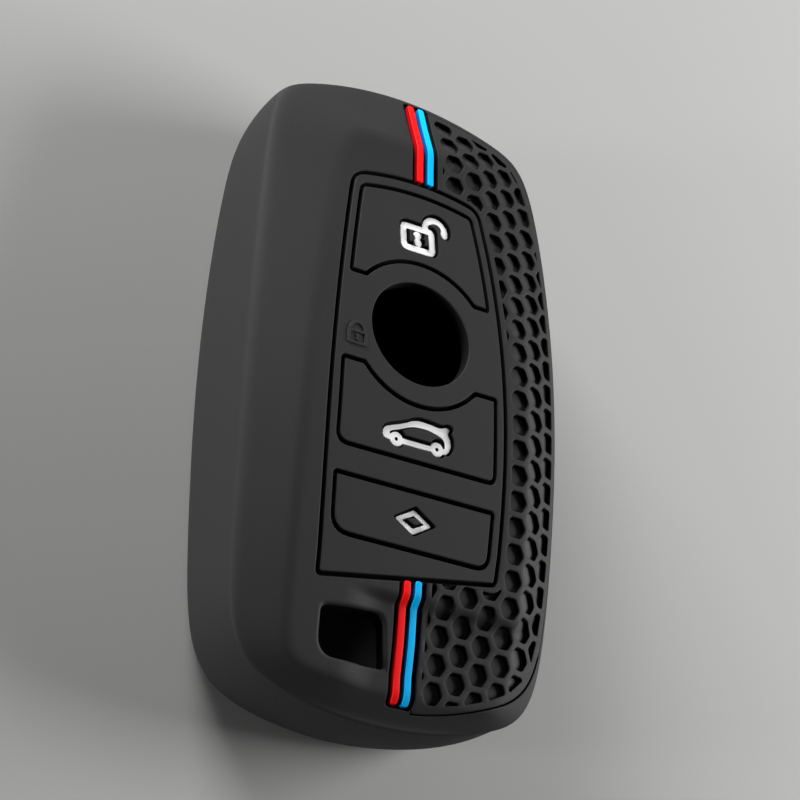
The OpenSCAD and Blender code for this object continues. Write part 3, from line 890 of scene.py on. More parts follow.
@dataclass(frozen=True)
class KeypadForm:
    """The sizes of the keypad panel, and the outlines of its buttons."""

    width: float = 21.4 * MM
    middle_y: float = -8.2 * MM
    top_y: float = 23.9 * MM
    bottom_y: float = -22.4 * MM
    slant: float = 3.5 * MM
    groove: float = 0.5 * MM
    web: float = 0.35 * MM
    wall: float = 1.6 * MM
    top_side_radius: float = 167 * MM
    bottom_side_radius: float = 290 * MM
    arch_radius: float = 28 * MM
    panel_corner: float = 1.4 * MM
    panel_foot_corner: float = 0.5 * MM
    window_y: float = 4.9 * MM
    window_radius: float = 6 * MM
    margin: float = 1.2 * MM
    arc_radius: float = 8.5 * MM
    arc_tip: float = 0.3 * MM
    unlock_top_y: float = 22.35 * MM
    unlock_bottom_y: float = 10.2 * MM
    unlock_corner: float = 0.6 * MM
    small_corner: float = 0.3 * MM
    boot_top_y: float = -0.3 * MM
    boot_bottom_y: float = -9.9 * MM
    boot_left_corner: float = 1.3 * MM
    boot_right_corner: float = 1 * MM
    diamond_top_y: float = -13.15 * MM
    diamond_bottom_y: float = -19.4 * MM
    diamond_left_corner: float = 2 * MM
    diamond_right_corner: float = 1.6 * MM

    ARCH_SHARE = 0.8
    ARCH_STEPS = 12
    SIDE_STEPS = 8
    PANEL_SIDE_STEPS = 16
    WINDOW_ARC_STEPS = 30

    def half(self, y: float) -> float:
        """Half width of the panel at a place along it."""
        radius = self.top_side_radius if y > self.middle_y else self.bottom_side_radius
        return self.width / 2 - (y - self.middle_y) ** 2 / (2 * radius)

    def arch_y(self, x: float, top_y: float) -> float:
        """Where the arched top edge runs at a place across."""
        return top_y - x * x / (2 * self.arch_radius)

    def _arch(self, top_y: float, inset: float, size: float) -> list[Corner]:
        """Draws the arched top edge from right to left.

        Args:
            top_y: Where its middle lies.
            inset: How far its ends lie inside the panel's sides.
            size: Size of its two corners.

        Returns:
            The tips with the sizes of their corners.
        """
        half = self.half(self.arch_y(self.half(top_y) - inset, top_y)) - inset
        shares = [mix(self.ARCH_SHARE, -self.ARCH_SHARE, number / self.ARCH_STEPS)
                  for number in range(self.ARCH_STEPS + 1)]
        middle = [(Vector((share * half, self.arch_y(share * half, top_y))), 0.0)
                  for share in shares]
        shoulder = self.arch_y(half, top_y)
        return [(Vector((half, shoulder)), size), *middle, (Vector((-half, shoulder)), size)]

    def _side(self, start: float, end: float, inset: float, way: int,
              steps: int = SIDE_STEPS) -> list[Corner]:
        """Draws the right side upwards or the left side downwards, without the ends.

        Args:
            start: Where it starts along the panel.
            end: Where it ends.
            inset: How far it lies inside the panel's side.
            way: 1 for the right side, -1 for the left.
            steps: Number of its steps.

        Returns:
            The points with corners of size 0.
        """
        places = [mix(start, end, number / steps) for number in range(1, steps)]
        return [(Vector((way * (self.half(y) - inset), y)), 0.0) for y in places]

    def _window_arc(self, level: float, radius: float, way: int) -> list[Corner]:
        """Draws the round edge of a button that follows the window.

        Args:
            level: Where its two ends lie along the panel.
            radius: Its radius about the window's middle.
            way: 1 for the edge above the window, -1 for the one below it.

        Returns:
            The points with the sizes of their corners.
        """
        angle = math.degrees(math.asin((level - self.window_y) / radius))
        start, end = (180 - angle, angle) if way > 0 else (angle, -180 - angle)
        points = arc(Vector((0, self.window_y)), radius, start, end, self.WINDOW_ARC_STEPS)
        tips = (0, len(points) - 1)
        return [(point, self.arc_tip if number in tips else 0.0)
                for number, point in enumerate(points)]

    @staticmethod
    def _size(size: float, inset: float) -> float:
        """Size of a corner at an inset."""
        return max(size - inset, LEAST_CORNER)

    def _foot(self, foot: float, inset: float, left: float, right: float) -> list[Corner]:
        """Draws the straight lower edge of a button from left to right.

        Args:
            foot: Where it lies along the panel.
            inset: The inset of the button's outline.
            left: Size of its left corner.
            right: Size of its right corner.

        Returns:
            The two tips with the sizes of their corners.
        """
        half = self.half(foot) - (self.margin + inset)
        return [(Vector((-half, foot)), self._size(left, inset)),
                (Vector((half, foot)), self._size(right, inset))]

    def panel(self, inset: float) -> list[Vector]:
        """Gives the panel's outline.

        Args:
            inset: How far it is moved inwards.

        Returns:
            The outline's points.
        """
        half, top_y = self.half(self.bottom_y) - inset, self.top_y - inset
        top = self._arch(top_y, inset, self._size(self.panel_corner, inset))
        shoulder = top[0][0].y
        foot = [self.bottom_y + inset + self.slant * x / self.width for x in (-half, half)]
        size, steps = self._size(self.panel_foot_corner, inset), self.PANEL_SIDE_STEPS
        return rounded([(Vector((-half, foot[0])), size), (Vector((half, foot[1])), size),
                        *self._side(foot[1], shoulder, inset, 1, steps), *top,
                        *self._side(shoulder, foot[0], inset, -1, steps)])

    def unlock(self, inset: float) -> list[Vector]:
        """Gives the outline of the upper button.

        Args:
            inset: How far it is moved inwards.

        Returns:
            The outline's points.
        """
        margin, foot = self.margin + inset, self.unlock_bottom_y + inset
        top = self._arch(self.unlock_top_y - inset, margin, self._size(self.unlock_corner, inset))
        shoulder, half = top[0][0].y, self.half(foot) - margin
        size = self._size(self.small_corner, inset)
        return rounded([*self._window_arc(foot, self.arc_radius + inset, 1),
                        (Vector((half, foot)), size), *self._side(foot, shoulder, margin, 1),
                        *top, *self._side(shoulder, foot, margin, -1),
                        (Vector((-half, foot)), size)])

    def boot(self, inset: float) -> list[Vector]:
        """Gives the outline of the middle button.

        Args:
            inset: How far it is moved inwards.

        Returns:
            The outline's points.
        """
        head, size = self.boot_top_y - inset, self._size(self.small_corner, inset)
        upper = self.half(head) - (self.margin + inset)
        return rounded([*self._foot(self.boot_bottom_y + inset, inset, self.boot_left_corner,
                                    self.boot_right_corner),
                        (Vector((upper, head)), size),
                        *self._window_arc(head, self.arc_radius + inset, -1),
                        (Vector((-upper, head)), size)])

    def diamond(self, inset: float) -> list[Vector]:
        """Gives the outline of the lower button.

        Args:
            inset: How far it is moved inwards.

        Returns:
            The outline's points.
        """
        head, size = self.diamond_top_y - inset, self._size(self.small_corner, inset)
        upper = self.half(head) - (self.margin + inset)
        return rounded([*self._foot(self.diamond_bottom_y + inset, inset,
                                    self.diamond_left_corner, self.diamond_right_corner),
                        (Vector((upper, head)), size), (Vector((-upper, head)), size)])


class Wire:
    """A shader value that can be used in sums."""

    def __init__(self, graph: "Graph", socket: bpy.types.NodeSocket) -> None:
        """Keeps the graph and the socket that gives the value."""
        self.graph = graph
        self.socket = socket

    def _math(self, operation: str, first: "Wire | float", second: "Wire | float") -> "Wire":
        """Adds a Math node to the graph."""
        return self.graph.add("ShaderNodeMath", {"operation": operation}, {0: first, 1: second})

    def __add__(self, other: "Wire | float") -> "Wire":
        """The sum."""
        return self._math("ADD", self, other)

    def __sub__(self, other: "Wire | float") -> "Wire":
        """The difference."""
        return self._math("SUBTRACT", self, other)

    def __rsub__(self, other: float) -> "Wire":
        """The difference from a number."""
        return self._math("SUBTRACT", other, self)

    def __mul__(self, other: "Wire | float") -> "Wire":
        """The product."""
        return self._math("MULTIPLY", self, other)

    __radd__ = __add__
    __rmul__ = __mul__


class Graph:
    """The nodes of one material, with the sockets that a Mix node uses for colours."""

    MIX_SHARE = 0
    MIX_COLOURS = (6, 7)
    MIX_RESULT = 2

    def __init__(self, name: str) -> None:
        """Starts an empty material.

        Args:
            name: Name of the material.
        """
        self.material = bpy.data.materials.new(name)
        self.material.use_nodes = True
        self.tree = self.material.node_tree
        self.tree.nodes.clear()

    def add(self, kind: str, settings: dict | None = None, inputs: dict | None = None,
            output: int | str = 0) -> Wire:
        """Adds a node.

        Args:
            kind: Blender's name of the node's type.
            settings: Values of the node's own properties, which are set first.
            inputs: Values or wires for its sockets, by name or number.
            output: The output that is wanted.

        Returns:
            The wire of that output.
        """
        node = self.tree.nodes.new(kind)
        for key, value in (settings or {}).items():
            setattr(node, key, value)
        for key, value in (inputs or {}).items():
            if isinstance(value, Wire):
                self.tree.links.new(value.socket, node.inputs[key])
            else:
                node.inputs[key].default_value = value
        return Wire(self, node.outputs[output])

    def noise(self, scale: float, detail: float = 2.0) -> Wire:
        """Adds even noise between about 0 and 1.

        Args:
            scale: Number of cells to a metre.
            detail: How many finer layers it has.

        Returns:
            The wire of the noise.
        """
        place = self.add("ShaderNodeTexCoord", output="Object")
        return self.add("ShaderNodeTexNoise", {},
                        {"Vector": place, "Scale": scale, "Detail": detail}, "Fac")

    def blend(self, share: Wire, colours: Sequence[tuple[float, ...]]) -> Wire:
        """Adds a blend of two colours.

        Args:
            share: Share of the second colour.
            colours: The two colours.

        Returns:
            The wire of the colour.
        """
        first, second = self.MIX_COLOURS
        return self.add("ShaderNodeMix", {"data_type": "RGBA"},
                        {self.MIX_SHARE: share, first: colours[0], second: colours[1]},
                        self.MIX_RESULT)

    def end(self, surface: Wire) -> bpy.types.Material:
        """Joins the surface to the output.

        Args:
            surface: The wire of the shader.

        Returns:
            The finished material.
        """
        node = self.tree.nodes.new("ShaderNodeOutputMaterial")
        self.tree.links.new(surface.socket, node.inputs["Surface"])
        return self.material


@dataclass(frozen=True)
class Silicone:
    """Moulded silicone, with a soft sheen, a faint cloudiness and a very fine grain.

    Attributes:
        name: Name of the material.
        colour: Linear colour.
        roughness: Mean roughness.
        cloud: Share by which the colour varies over the surface.
        cloud_scale: Cells of the cloudiness to a metre.
        grain: Strength of the grain's relief.
        grain_scale: Cells of the grain to a metre.
        specular: Strength of the plain reflection.
        relief: Height of the grain.
        gloss_spread: How much the roughness varies with the grain.
    """

    name: str
    colour: tuple[float, float, float]
    roughness: float = 0.55
    cloud: float = 0.05
    cloud_scale: float = 90.0
    grain: float = 0.12
    grain_scale: float = 3200.0
    specular: float = 0.35
    relief: float = 0.02 * MM
    gloss_spread: float = 0.12

    CLOUD_DETAIL = 3.0
    MEAN_NOISE = 0.5

    def material(self) -> bpy.types.Material:
        """Builds the material.

        Returns:
            The material.
        """
        graph = Graph(self.name)
        tones = [(*(channel * (1 + side * self.cloud) for channel in self.colour), 1.0)
                 for side in (-1, 1)]
        colour = graph.blend(graph.noise(self.cloud_scale, self.CLOUD_DETAIL), tones)
        grain = graph.noise(self.grain_scale)
        gloss = self.roughness + (grain - self.MEAN_NOISE) * self.gloss_spread
        bump = graph.add("ShaderNodeBump", {}, {
            "Strength": self.grain, "Distance": self.relief, "Height": grain})
        return graph.end(graph.add("ShaderNodeBsdfPrincipled", {}, {
            "Base Color": colour, "Roughness": gloss, "Specular IOR Level": self.specular,
            "Normal": bump}))


@dataclass(frozen=True)
class Lamp:
    """A square soft lamp.

    Attributes:
        name: Its name.
        turn: Angle round the object from the X axis, in degrees.
        rise: Angle over the floor, in degrees.
        distance: Distance from the object.
        size: Length of its sides.
        light: Share of full light that it gives at the object.
    """

    name: str
    turn: float
    rise: float
    distance: float
    size: float
    light: float


@dataclass(frozen=True)
class Studio:
    """The floor, the soft lamps and the camera.

    Attributes:
        camera_place: Where the camera stands.
        camera_aim: The point in the middle of the picture.
        camera_roll: Turn about the line of sight, in degrees.
        lens: Focal length in millimetres, for a picture as wide as the sensor.
        ambient: Strength of the even light all round.
    """

    camera_place: tuple[float, float, float] = (-0.144343, -0.140475, 0.255708)
    camera_aim: tuple[float, float, float] = (0.0031579, 0.0018533, 0.009)
    camera_roll: float = 54.8373
    lens: float = 134.7417
    sensor: float = 36.0
    near: float = 0.01
    far: float = 20.0
    lamps: tuple[Lamp, ...] = (Lamp("key_lamp", 120, 18, 0.35, 0.18, 1.6),
                               Lamp("far_lamp", 5, 25, 0.35, 0.18, 1.4),
                               Lamp("fill_lamp", 195, 4, 0.9, 0.12, 0.8))
    ambient: float = 0.05
    ambient_colour: tuple[float, float, float, float] = (1, 1, 1, 1)
    floor_size: float = 6.0
    floor: Silicone = Silicone("pale_floor", (0.40, 0.40, 0.395), roughness=0.9, cloud=0.01,
                               cloud_scale=4.0, grain=0.02, specular=0.1)

    @staticmethod
    def _hang(lamp: Lamp) -> None:
        """Adds a square lamp that points at the object.

        Args:
            lamp: The lamp.
        """
        Bench.clear()
        turn, rise = math.radians(lamp.turn), math.radians(lamp.rise)
        way = Vector((math.cos(rise) * math.cos(turn), math.cos(rise) * math.sin(turn),
                      math.sin(rise)))
        bpy.ops.object.light_add(type="AREA", location=way * lamp.distance)
        light = bpy.context.active_object
        light.name = lamp.name
        light.rotation_euler = way.to_track_quat("Z", "Y").to_euler()
        light.data.size = lamp.size
        light.data.energy = lamp.light * math.pi ** 2 * lamp.distance ** 2

    def _light(self) -> None:
        """Sets the lamps and the world."""
        for lamp in self.lamps:
            self._hang(lamp)
        world = bpy.data.worlds.new("studio")
        world.use_nodes = True
        background = world.node_tree.nodes["Background"]
        background.inputs["Color"].default_value = self.ambient_colour
        background.inputs["Strength"].default_value = self.ambient
        bpy.context.scene.world = world

    def _lay_floor(self) -> None:
        """Adds the plain pale floor."""
        Bench.clear()
        bpy.ops.mesh.primitive_plane_add(size=self.floor_size)
        floor = bpy.context.active_object
        floor.name = "floor"
        floor.data.materials.append(self.floor.material())

    def _place_camera(self) -> None:
        """Puts the camera where the photograph was taken from."""
        place, aim = Vector(self.camera_place), Vector(self.camera_aim)
        camera = bpy.data.objects.new("camera", bpy.data.cameras.new("camera"))
        bpy.context.scene.collection.objects.link(camera)
        roll = Quaternion((0, 0, 1), math.radians(self.camera_roll))
        camera.location = place
        camera.rotation_mode = "QUATERNION"
        camera.rotation_quaternion = (aim - place).to_track_quat("-Z", "Y") @ roll
        camera.data.lens = self.lens
        camera.data.sensor_width = self.sensor
        camera.data.clip_start = self.near
        camera.data.clip_end = self.far
        bpy.context.scene.camera = camera

    def build(self) -> None:
        """Sets up the whole studio."""
        bpy.context.scene.view_settings.view_transform = "Standard"
        self._light()
        self._lay_floor()
        self._place_camera()


@dataclass(frozen=True)
class Dress:
    """Materials of a piece: surface, walls (mostly painted shade) and recess floors (painted
    light).
    """

    surface: bpy.types.Material
    wall: bpy.types.Material
    floor: bpy.types.Material

    @property
    def materials(self) -> list[bpy.types.Material]:
        """The materials in the order of the slots."""
        return [self.surface, self.wall, self.floor]

    def put_on(self, piece: bpy.types.Object) -> None:
        """Gives the piece its materials, and keeps which face has which slot.

        Args:
            piece: The finished solid.
        """
        kept = [face.material_index for face in piece.data.polygons]
        piece.data.materials.clear()
        for material in self.materials:
            piece.data.materials.append(material)
        piece.data.polygons.foreach_set("material_index", kept)


def hand_over(piece: bpy.types.Object, name: str, body: str, dress: Dress,
              nodes: Sequence[str]) -> None:
    """Finishes a piece and says what it stands for.

    Args:
        piece: The finished solid.
        name: Its name.
        body: The body that it moves with.
        dress: Its materials, with painted shade on most walls and painted light on the cells'
            floors.
        nodes: The nodes that it replaces.
    """
    Bench.finish(piece)
    piece.name = name
    dress.put_on(piece)
    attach(piece, body)
    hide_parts(*nodes)
    LOG.info("%s: %d faces", name, len(piece.data.polygons))


@dataclass
class Keypad:
    """The keypad panel with its window, and the three buttons.

    Attributes:
        under: How deep the cutters of the openings go.
        strip: Width of the strips that follow the crown.
        sign_margin: Width of the open margin round a sign.
        pusher_places: Where the pushers of the buttons lie along the panel.
    """

    form: KeypadForm
    skin: Skin
    dress: Dress
    edge: float = 0.12 * MM
    window_edge: float = 0.14 * MM
    under: float = 3 * MM
    strip: float = 1 * MM
    sign_depth: float = 0.6 * MM
    sign_margin: float = 0.26 * MM
    pusher_radius: float = 2.2 * MM
    pusher_height: float = 0.5 * MM
    pusher_places: tuple[float, ...] = (17.875 * MM, -6.75 * MM, -16.275 * MM)

    WINDOW_POINTS = 128
    WINDOW_TURNS = 6
    PUSHER_POINTS = 48

    def build_panel(self) -> None:
        """Models the panel with its window and the openings of the buttons."""
        form, half, low = self.form, self.form.groove / 2, self.form.web - self.form.wall
        # The flange and all cut walls take the wall material, which is painted shade.
        steps = [Step(-half, -form.wall), Step(-half, low, Slot.WALL), Step(half, low, Slot.WALL)]
        steps += rounded_top(form.wall, self.edge, half)[1:]
        panel = Bench.slab("keypad_panel_look", form.panel, steps)
        for outline in (form.unlock, form.boot, form.diamond):
            cutter = Bench.slab("cutter", outline, flared_cut(self.under, self.edge, -half))
            Bench.boolean(panel, cutter, Way.CUT)
        window = disc(Vector((0, form.window_y)), form.window_radius, self.WINDOW_POINTS)
        steps = flared_cut(self.under, self.window_edge, 0.0, turns=self.WINDOW_TURNS)
        Bench.boolean(panel, Bench.slab("cutter", window, steps), Way.CUT)
        Bench.slice(panel, ALONG, self.strip, form.bottom_y - form.slant, form.top_y)
        Bench.drape(panel, self.skin.form.crown)
        hand_over(panel, "keypad_panel_look", "cover", self.dress,
                  ["keypad_panel"])

    def _build_button(self, name: str, outline: Outline, pusher_y: float,
                      recesses: Iterable[bpy.types.Object]) -> None:
        """Models a button with the recesses of its sign and the pusher under it.

        Args:
            name: Name of the node that it replaces and of the body that it moves with.
            outline: Its outline.
            pusher_y: Where its pusher lies along the panel.
            recesses: The cutters for its sign.
        """
        wall = self.form.wall
        # The button's walls and pusher take the wall material, which is painted shade.
        button = Bench.slab(name, outline, rounded_top(wall, self.edge, self.form.groove / 2))
        ring = disc(Vector((0, pusher_y)), self.pusher_radius, self.PUSHER_POINTS)
        pusher = Bench.slab("pusher", ring, [Step(0.0, -wall - self.pusher_height),
                                             Step(0.0, -wall / 2, Slot.WALL)])
        Bench.boolean(button, pusher, Way.JOIN)
        for recess in recesses:
            Bench.boolean(button, recess, Way.CUT)
        Bench.fit(button, self.skin.form.crown, self.strip)
        hand_over(button, f"{name}_look", name, self.dress, [name])

    def build_buttons(self, signs: "Signs") -> None:
        """Models the three buttons.

        Args:
            signs: The signs, which give the cutters of their recesses.
        """
        outlines = {"unlock": self.form.unlock, "boot": self.form.boot,
                    "diamond": self.form.diamond}
        makers = (signs.unlock_recesses, signs.boot_recesses, signs.diamond_recesses)
        for (name, outline), pusher_y, recesses in zip(outlines.items(), self.pusher_places,
                                                       makers):
            self._build_button(f"{name}_button", outline, pusher_y, recesses())


@dataclass
class Signs:
    """The white signs let in on the buttons, their recesses, and the raised padlock mark.

    The shares give points of the car and the diamond clockwise, as shares of the length or
    width of the sign.

    Attributes:
        line: Width of the white lines.
        rise: Height of the white signs over the button, which is negative: they are let in.
        overlap: How far a shackle reaches into the padlock's body.
        island_rise: How far the island inside a recess is left standing over the button.
        car_trim: How much the car's line is thinned on each side.
        mark_sunk: How deep the mark is rooted in the panel.
    """

    skin: Skin
    keypad: Keypad
    white: Dress
    black: Dress
    line: float = 0.78 * MM
    rise: float = -0.36 * MM
    edge: float = 0.07 * MM
    recess_edge: float = 0.08 * MM
    island_rise: float = 0.002 * MM
    lock_centre: tuple[float, float] = (0.03 * MM, 16.82 * MM)
    lock_width: float = 4.35 * MM
    lock_height_share: float = 0.815
    lock_corner: float = 0.85 * MM
    shackle_centre: tuple[float, float] = (2.27 * MM, 18.65 * MM)
    shackle_radius: float = 1.24 * MM
    shackle_end: float = -18.0
    shackle_tip_gap: float = 12.0
    keyhole_radius: float = 0.5 * MM
    keyhole_neck: float = 0.6 * MM
    keyhole_half: float = 0.45 * MM
    car_centre: tuple[float, float] = (0.02 * MM, -6.55 * MM)
    car_length: float = 8.44 * MM
    car_trim: float = 0.03 * MM
    wheel_radius: float = 0.8 * MM
    wheel_hole: float = 0.2 * MM
    wheel_hole_depth: float = 0.2 * MM
    diamond_centre: tuple[float, float] = (0.19 * MM, -16.25 * MM)
    diamond_width: float = 4.5 * MM
    diamond_round: float = 0.3 * MM
    mark_centre: tuple[float, float] = (-7.79 * MM, 2.17 * MM)
    mark_width: float = 2.37 * MM
    mark_height_share: float = 0.73
    mark_line: float = 0.35 * MM
    mark_rise: float = 0.14 * MM
    mark_edge: float = 0.1 * MM
    mark_sunk: float = 0.1 * MM
    mark_corner: float = 0.3 * MM
    mark_shackle: float = 0.88 * MM
    mark_keyhole: float = 0.2 * MM
    mark_keyhole_half: float = 0.22 * MM
    mark_neck: float = 0.2 * MM
    overlap: float = 0.3 * MM
    inner_corner: float = 0.15 * MM
    strip: float = 1 * MM

    CAR_OUTER_SHARES = ((-0.456, -0.191), (-0.500, -0.129), (-0.495, -0.057), (-0.451, -0.005),
                        (-0.264, 0.062), (-0.146, 0.117), (-0.078, 0.156), (0.025, 0.180),
                        (0.182, 0.173), (0.323, 0.154), (0.402, 0.191), (0.481, 0.180),
                        (0.440, 0.104), (0.483, 0.026), (0.500, -0.066), (0.453, -0.160),
                        (0.402, -0.191))
    CAR_INNER_SHARES = ((-0.368, -0.113), (-0.400, -0.063), (-0.244, -0.009), (-0.083, 0.070),
                        (0.098, 0.086), (0.239, 0.066), (0.383, 0.015), (0.405, -0.083),
                        (0.378, -0.113))
    WHEEL_SHARES = ((-0.293, -0.147), (0.289, -0.137))
    DIAMOND_OUTER_SHARES = ((0.5, 0), (0, -0.3), (-0.5, 0), (0, 0.3))
    DIAMOND_INNER_SHARES = ((0.29, 0), (0, -0.155), (-0.29, 0), (0, 0.155))
    SHACKLE_STEPS = 24
    TIP_STEPS = 8
    KEYHOLE_STEPS = 16
    WHEEL_POINTS = 40
    HOLE_TURNS = 3
    LEAST_NECK, MOST_NECK = 0.05, 0.95

    def _body(self, centre: Sequence[float], size: Sequence[float], line: float,
              tip_size: float) -> tuple[Outline, Outline]:
        """Gives the two outlines of a padlock's body.

        Args:
            centre: Its middle.
            size: Its width and height.
            line: Width of its frame.
            tip_size: Size of its outer corners.

        Returns:
            The outer and the inner outline.
        """
        middle, half = Vector(centre), Vector(size) / 2
        inner = half - Vector((line, line))
        return (box_outline(middle - half, middle + half, tip_size),
                box_outline(middle - inner, middle + inner, self.inner_corner))

    @classmethod
    def _keyhole(cls, centre: Sequence[float], radius: float, half: float,
                 neck: float) -> Outline:
        """Gives the outline of a keyhole: two discs with a neck between them.

        Args:
            centre: Its middle.
            radius: Radius of the discs.
            half: How far the discs lie from the middle.
            neck: Width of the neck.

        Returns:
            The outline.
        """
        def outline(inset: float) -> list[Vector]:
            """The keyhole for an inset.

            Args:
                inset: How far it is moved inwards.

            Returns:
                The outline's points.
            """
            size = radius - inset
            share = max(cls.LEAST_NECK, min(cls.MOST_NECK, (neck / 2 - inset) / size))
            angle = math.degrees(math.acos(share))
            upper = Vector(centre) + Vector((0, half))
            lower = Vector(centre) - Vector((0, half))
            return (arc(upper, size, -angle, 180 + angle, cls.KEYHOLE_STEPS)
                    + arc(lower, size, 180 - angle, 360 + angle, cls.KEYHOLE_STEPS))
        return outline

    @property
    def _lock_height(self) -> float:
        """Height of the open padlock's body."""
        return self.lock_width * self.lock_height_share

    def _lock_body(self) -> tuple[Outline, Outline]:
        """The two outlines of the open padlock's body."""
        return self._body(self.lock_centre, (self.lock_width, self._lock_height), self.line,
                          self.lock_corner)

    def _lock_keyhole(self) -> Outline:
        """The outline of the open padlock's keyhole."""
        return self._keyhole(self.lock_centre, self.keyhole_radius, self.keyhole_half,
                             self.keyhole_neck)

    def _shackle(self, inset: float) -> list[Vector]:
        """Gives the bent bar of the open padlock.

        Args:
            inset: How far its outline is moved inwards.

        Returns:
            The outline's points.
        """
        centre, half, end = Vector(self.shackle_centre), self.line / 2, self.shackle_end
        outer, inner = self.shackle_radius + half - inset, self.shackle_radius - half + inset
        level = self.lock_centre[1] + self._lock_height / 2 - self.overlap + inset
        angle = math.radians(end)
        tip = centre + self.shackle_radius * Vector((math.cos(angle), math.sin(angle)))
        gap = self.shackle_tip_gap
        ring = [Vector((centre.x - inner, level)), Vector((centre.x - outer, level)),
                *arc(centre, outer, 180, end, self.SHACKLE_STEPS),
                *arc(tip, half - inset, end - gap, end - 180 + gap, self.TIP_STEPS),
                *arc(centre, inner, end, 180, self.SHACKLE_STEPS)]
        return ring[::-1]

    @staticmethod
    def _points(centre: Sequence[float], size: float, shares: Shares) -> list[Vector]:
        """The points that the shares of a sign's size give, anticlockwise."""
        return [Vector(centre) + Vector(share) * size for share in shares][::-1]

    def _car(self) -> tuple[Outline, Outline]:
        """The outer and the inner outline of the car."""
        outer, inner = (softened(self._points(self.car_centre, self.car_length, shares))
                        for shares in (self.CAR_OUTER_SHARES, self.CAR_INNER_SHARES))
        return (lambda inset: inset_by(outer, inset + self.car_trim),
                lambda inset: inset_by(inner, inset - self.car_trim))

    def _wheels(self, radius: float) -> list[Outline]:
        """Round outlines of a radius about the middles of the wheels."""
        return [disc(Vector(self.car_centre) + Vector(share) * self.car_length, radius,
                     self.WHEEL_POINTS) for share in self.WHEEL_SHARES]

    def _diamond(self) -> tuple[Outline, Outline]:
        """Gives the two outlines of the diamond.

        Returns:
            The outer and the inner outline.
        """
        def outline(shares: Shares, size: float) -> Outline:
            """One of the outlines, with soft corners of a size."""
            points = self._points(self.diamond_centre, self.diamond_width, shares)
            return lambda inset: rounded([(point, size) for point in inset_by(points, inset)])
        return (outline(self.DIAMOND_OUTER_SHARES, self.diamond_round),
                outline(self.DIAMOND_INNER_SHARES, self.inner_corner))

    def _recess(self, outline: Outline, inner: Outline | None = None) -> bpy.types.Object:
        """Models a cutter for a sign and the open margin round it.

        Args:
            outline: The sign's outline.
            inner: The sign's inner outline, inside which the button is left standing.

        Returns:
            The cutter.
        """
        margin, depth = self.keypad.sign_margin, self.keypad.sign_depth
        # The recess's walls and floor take the wall material: painted shade round the sign.
        cutter = Bench.slab("recess", outline, flared_cut(depth, self.recess_edge, -margin))
        if inner:
            steps = rounded_top(2 * depth, self.recess_edge, margin, rise=self.island_rise)
            Bench.boolean(cutter, Bench.slab("island", inner, steps), Way.CUT)
        return cutter

    def unlock_recesses(self) -> list[bpy.types.Object]:
        """Cutters for the open padlock."""
        return [self._recess(*self._lock_body()), self._recess(self._shackle),
                self._recess(self._lock_keyhole())]

    def boot_recesses(self) -> list[bpy.types.Object]:
        """Cutters for the car."""
        return [self._recess(*self._car()),
                *[self._recess(wheel) for wheel in self._wheels(self.wheel_radius)]]

    def diamond_recesses(self) -> list[bpy.types.Object]:
        """Cutters for the diamond."""
        return [self._recess(*self._diamond())]

    def _sign_steps(self) -> list[Step]:
        """Rings of a white sign."""
        return rounded_top(self.keypad.sign_depth, self.edge, 0.0, Slot.SURFACE, self.rise)

    def _sign(self, outline: Outline, hole: Outline | None = None) -> bpy.types.Object:
        """Models a white sign with soft edges.

        Args:
            outline: Its outline.
            hole: Its inner outline, where it has one.

        Returns:
            The flat sign.
        """
        sign = Bench.slab("sign", outline, self._sign_steps())
        if hole:
            steps = flared_cut(2 * self.keypad.sign_depth, self.edge / 2, 0.0,
                               turns=self.HOLE_TURNS)
            Bench.boolean(sign, Bench.slab("hole", hole, lifted(steps, self.rise)), Way.CUT)
        return sign

    def _car_sign(self) -> bpy.types.Object:
        """Models the car with its two wheels and their hollow hubs.

        Returns:
            The flat sign.
        """
        car = self._sign(*self._car())
        for wheel in self._wheels(self.wheel_radius):
            Bench.boolean(car, Bench.slab("wheel", wheel, self._sign_steps()), Way.JOIN)
        # The hubs' walls and floors take the wall material: painted shade in the holes.
        hub_steps = [Step(0.0, self.rise + way * self.wheel_hole_depth, Slot.WALL)
                     for way in (-1, 1)]
        for hub in self._wheels(self.wheel_hole):
            Bench.boolean(car, Bench.slab("hub", hub, hub_steps), Way.CUT)
        return car

    def _place(self, sign: bpy.types.Object, name: str, body: str) -> None:
        """Lays a sign on the crown and hands it over.

        Args:
            sign: The flat sign.
            name: Name of the node that it replaces.
            body: The body that it moves with.
        """
        Bench.fit(sign, self.skin.form.crown, self.strip)
        is_mark = body == "cover"
        dress = self.black if is_mark else self.white
        hand_over(sign, f"{name}_look", body, dress, [name])

    def _mark_part(self, outline: Outline, hole: Outline | None = None) -> bpy.types.Object:
        """Models a thin raised line of the padlock mark.

        Args:
            outline: Its outline.
            hole: Its inner outline, where it has one.

        Returns:
            The flat line.
        """
        part = Bench.slab("mark", outline, rounded_top(self.mark_sunk, self.mark_edge, 0.0,
                                                       Slot.SURFACE, self.mark_rise))
        if hole:
            steps = flared_cut(self.mark_sunk + self.mark_rise * 2, self.mark_edge, 0.0,
                               Slot.SURFACE)
            Bench.boolean(part, Bench.slab("hole", hole, lifted(steps, self.mark_rise)), Way.CUT)
        return part

    def _build_mark(self) -> None:
        """Models the small padlock beside the window."""
        height, half = self.mark_width * self.mark_height_share, self.mark_line / 2
        top = Vector(self.mark_centre) + Vector((0, height / 2))

        def shackle(inset: float) -> list[Vector]:
            """The half ring on top of the body."""
            outer, inner = self.mark_shackle + half - inset, self.mark_shackle - half + inset
            return (arc(top, outer, 0, 180, self.SHACKLE_STEPS)
                    + arc(top, inner, 180, 0, self.SHACKLE_STEPS))

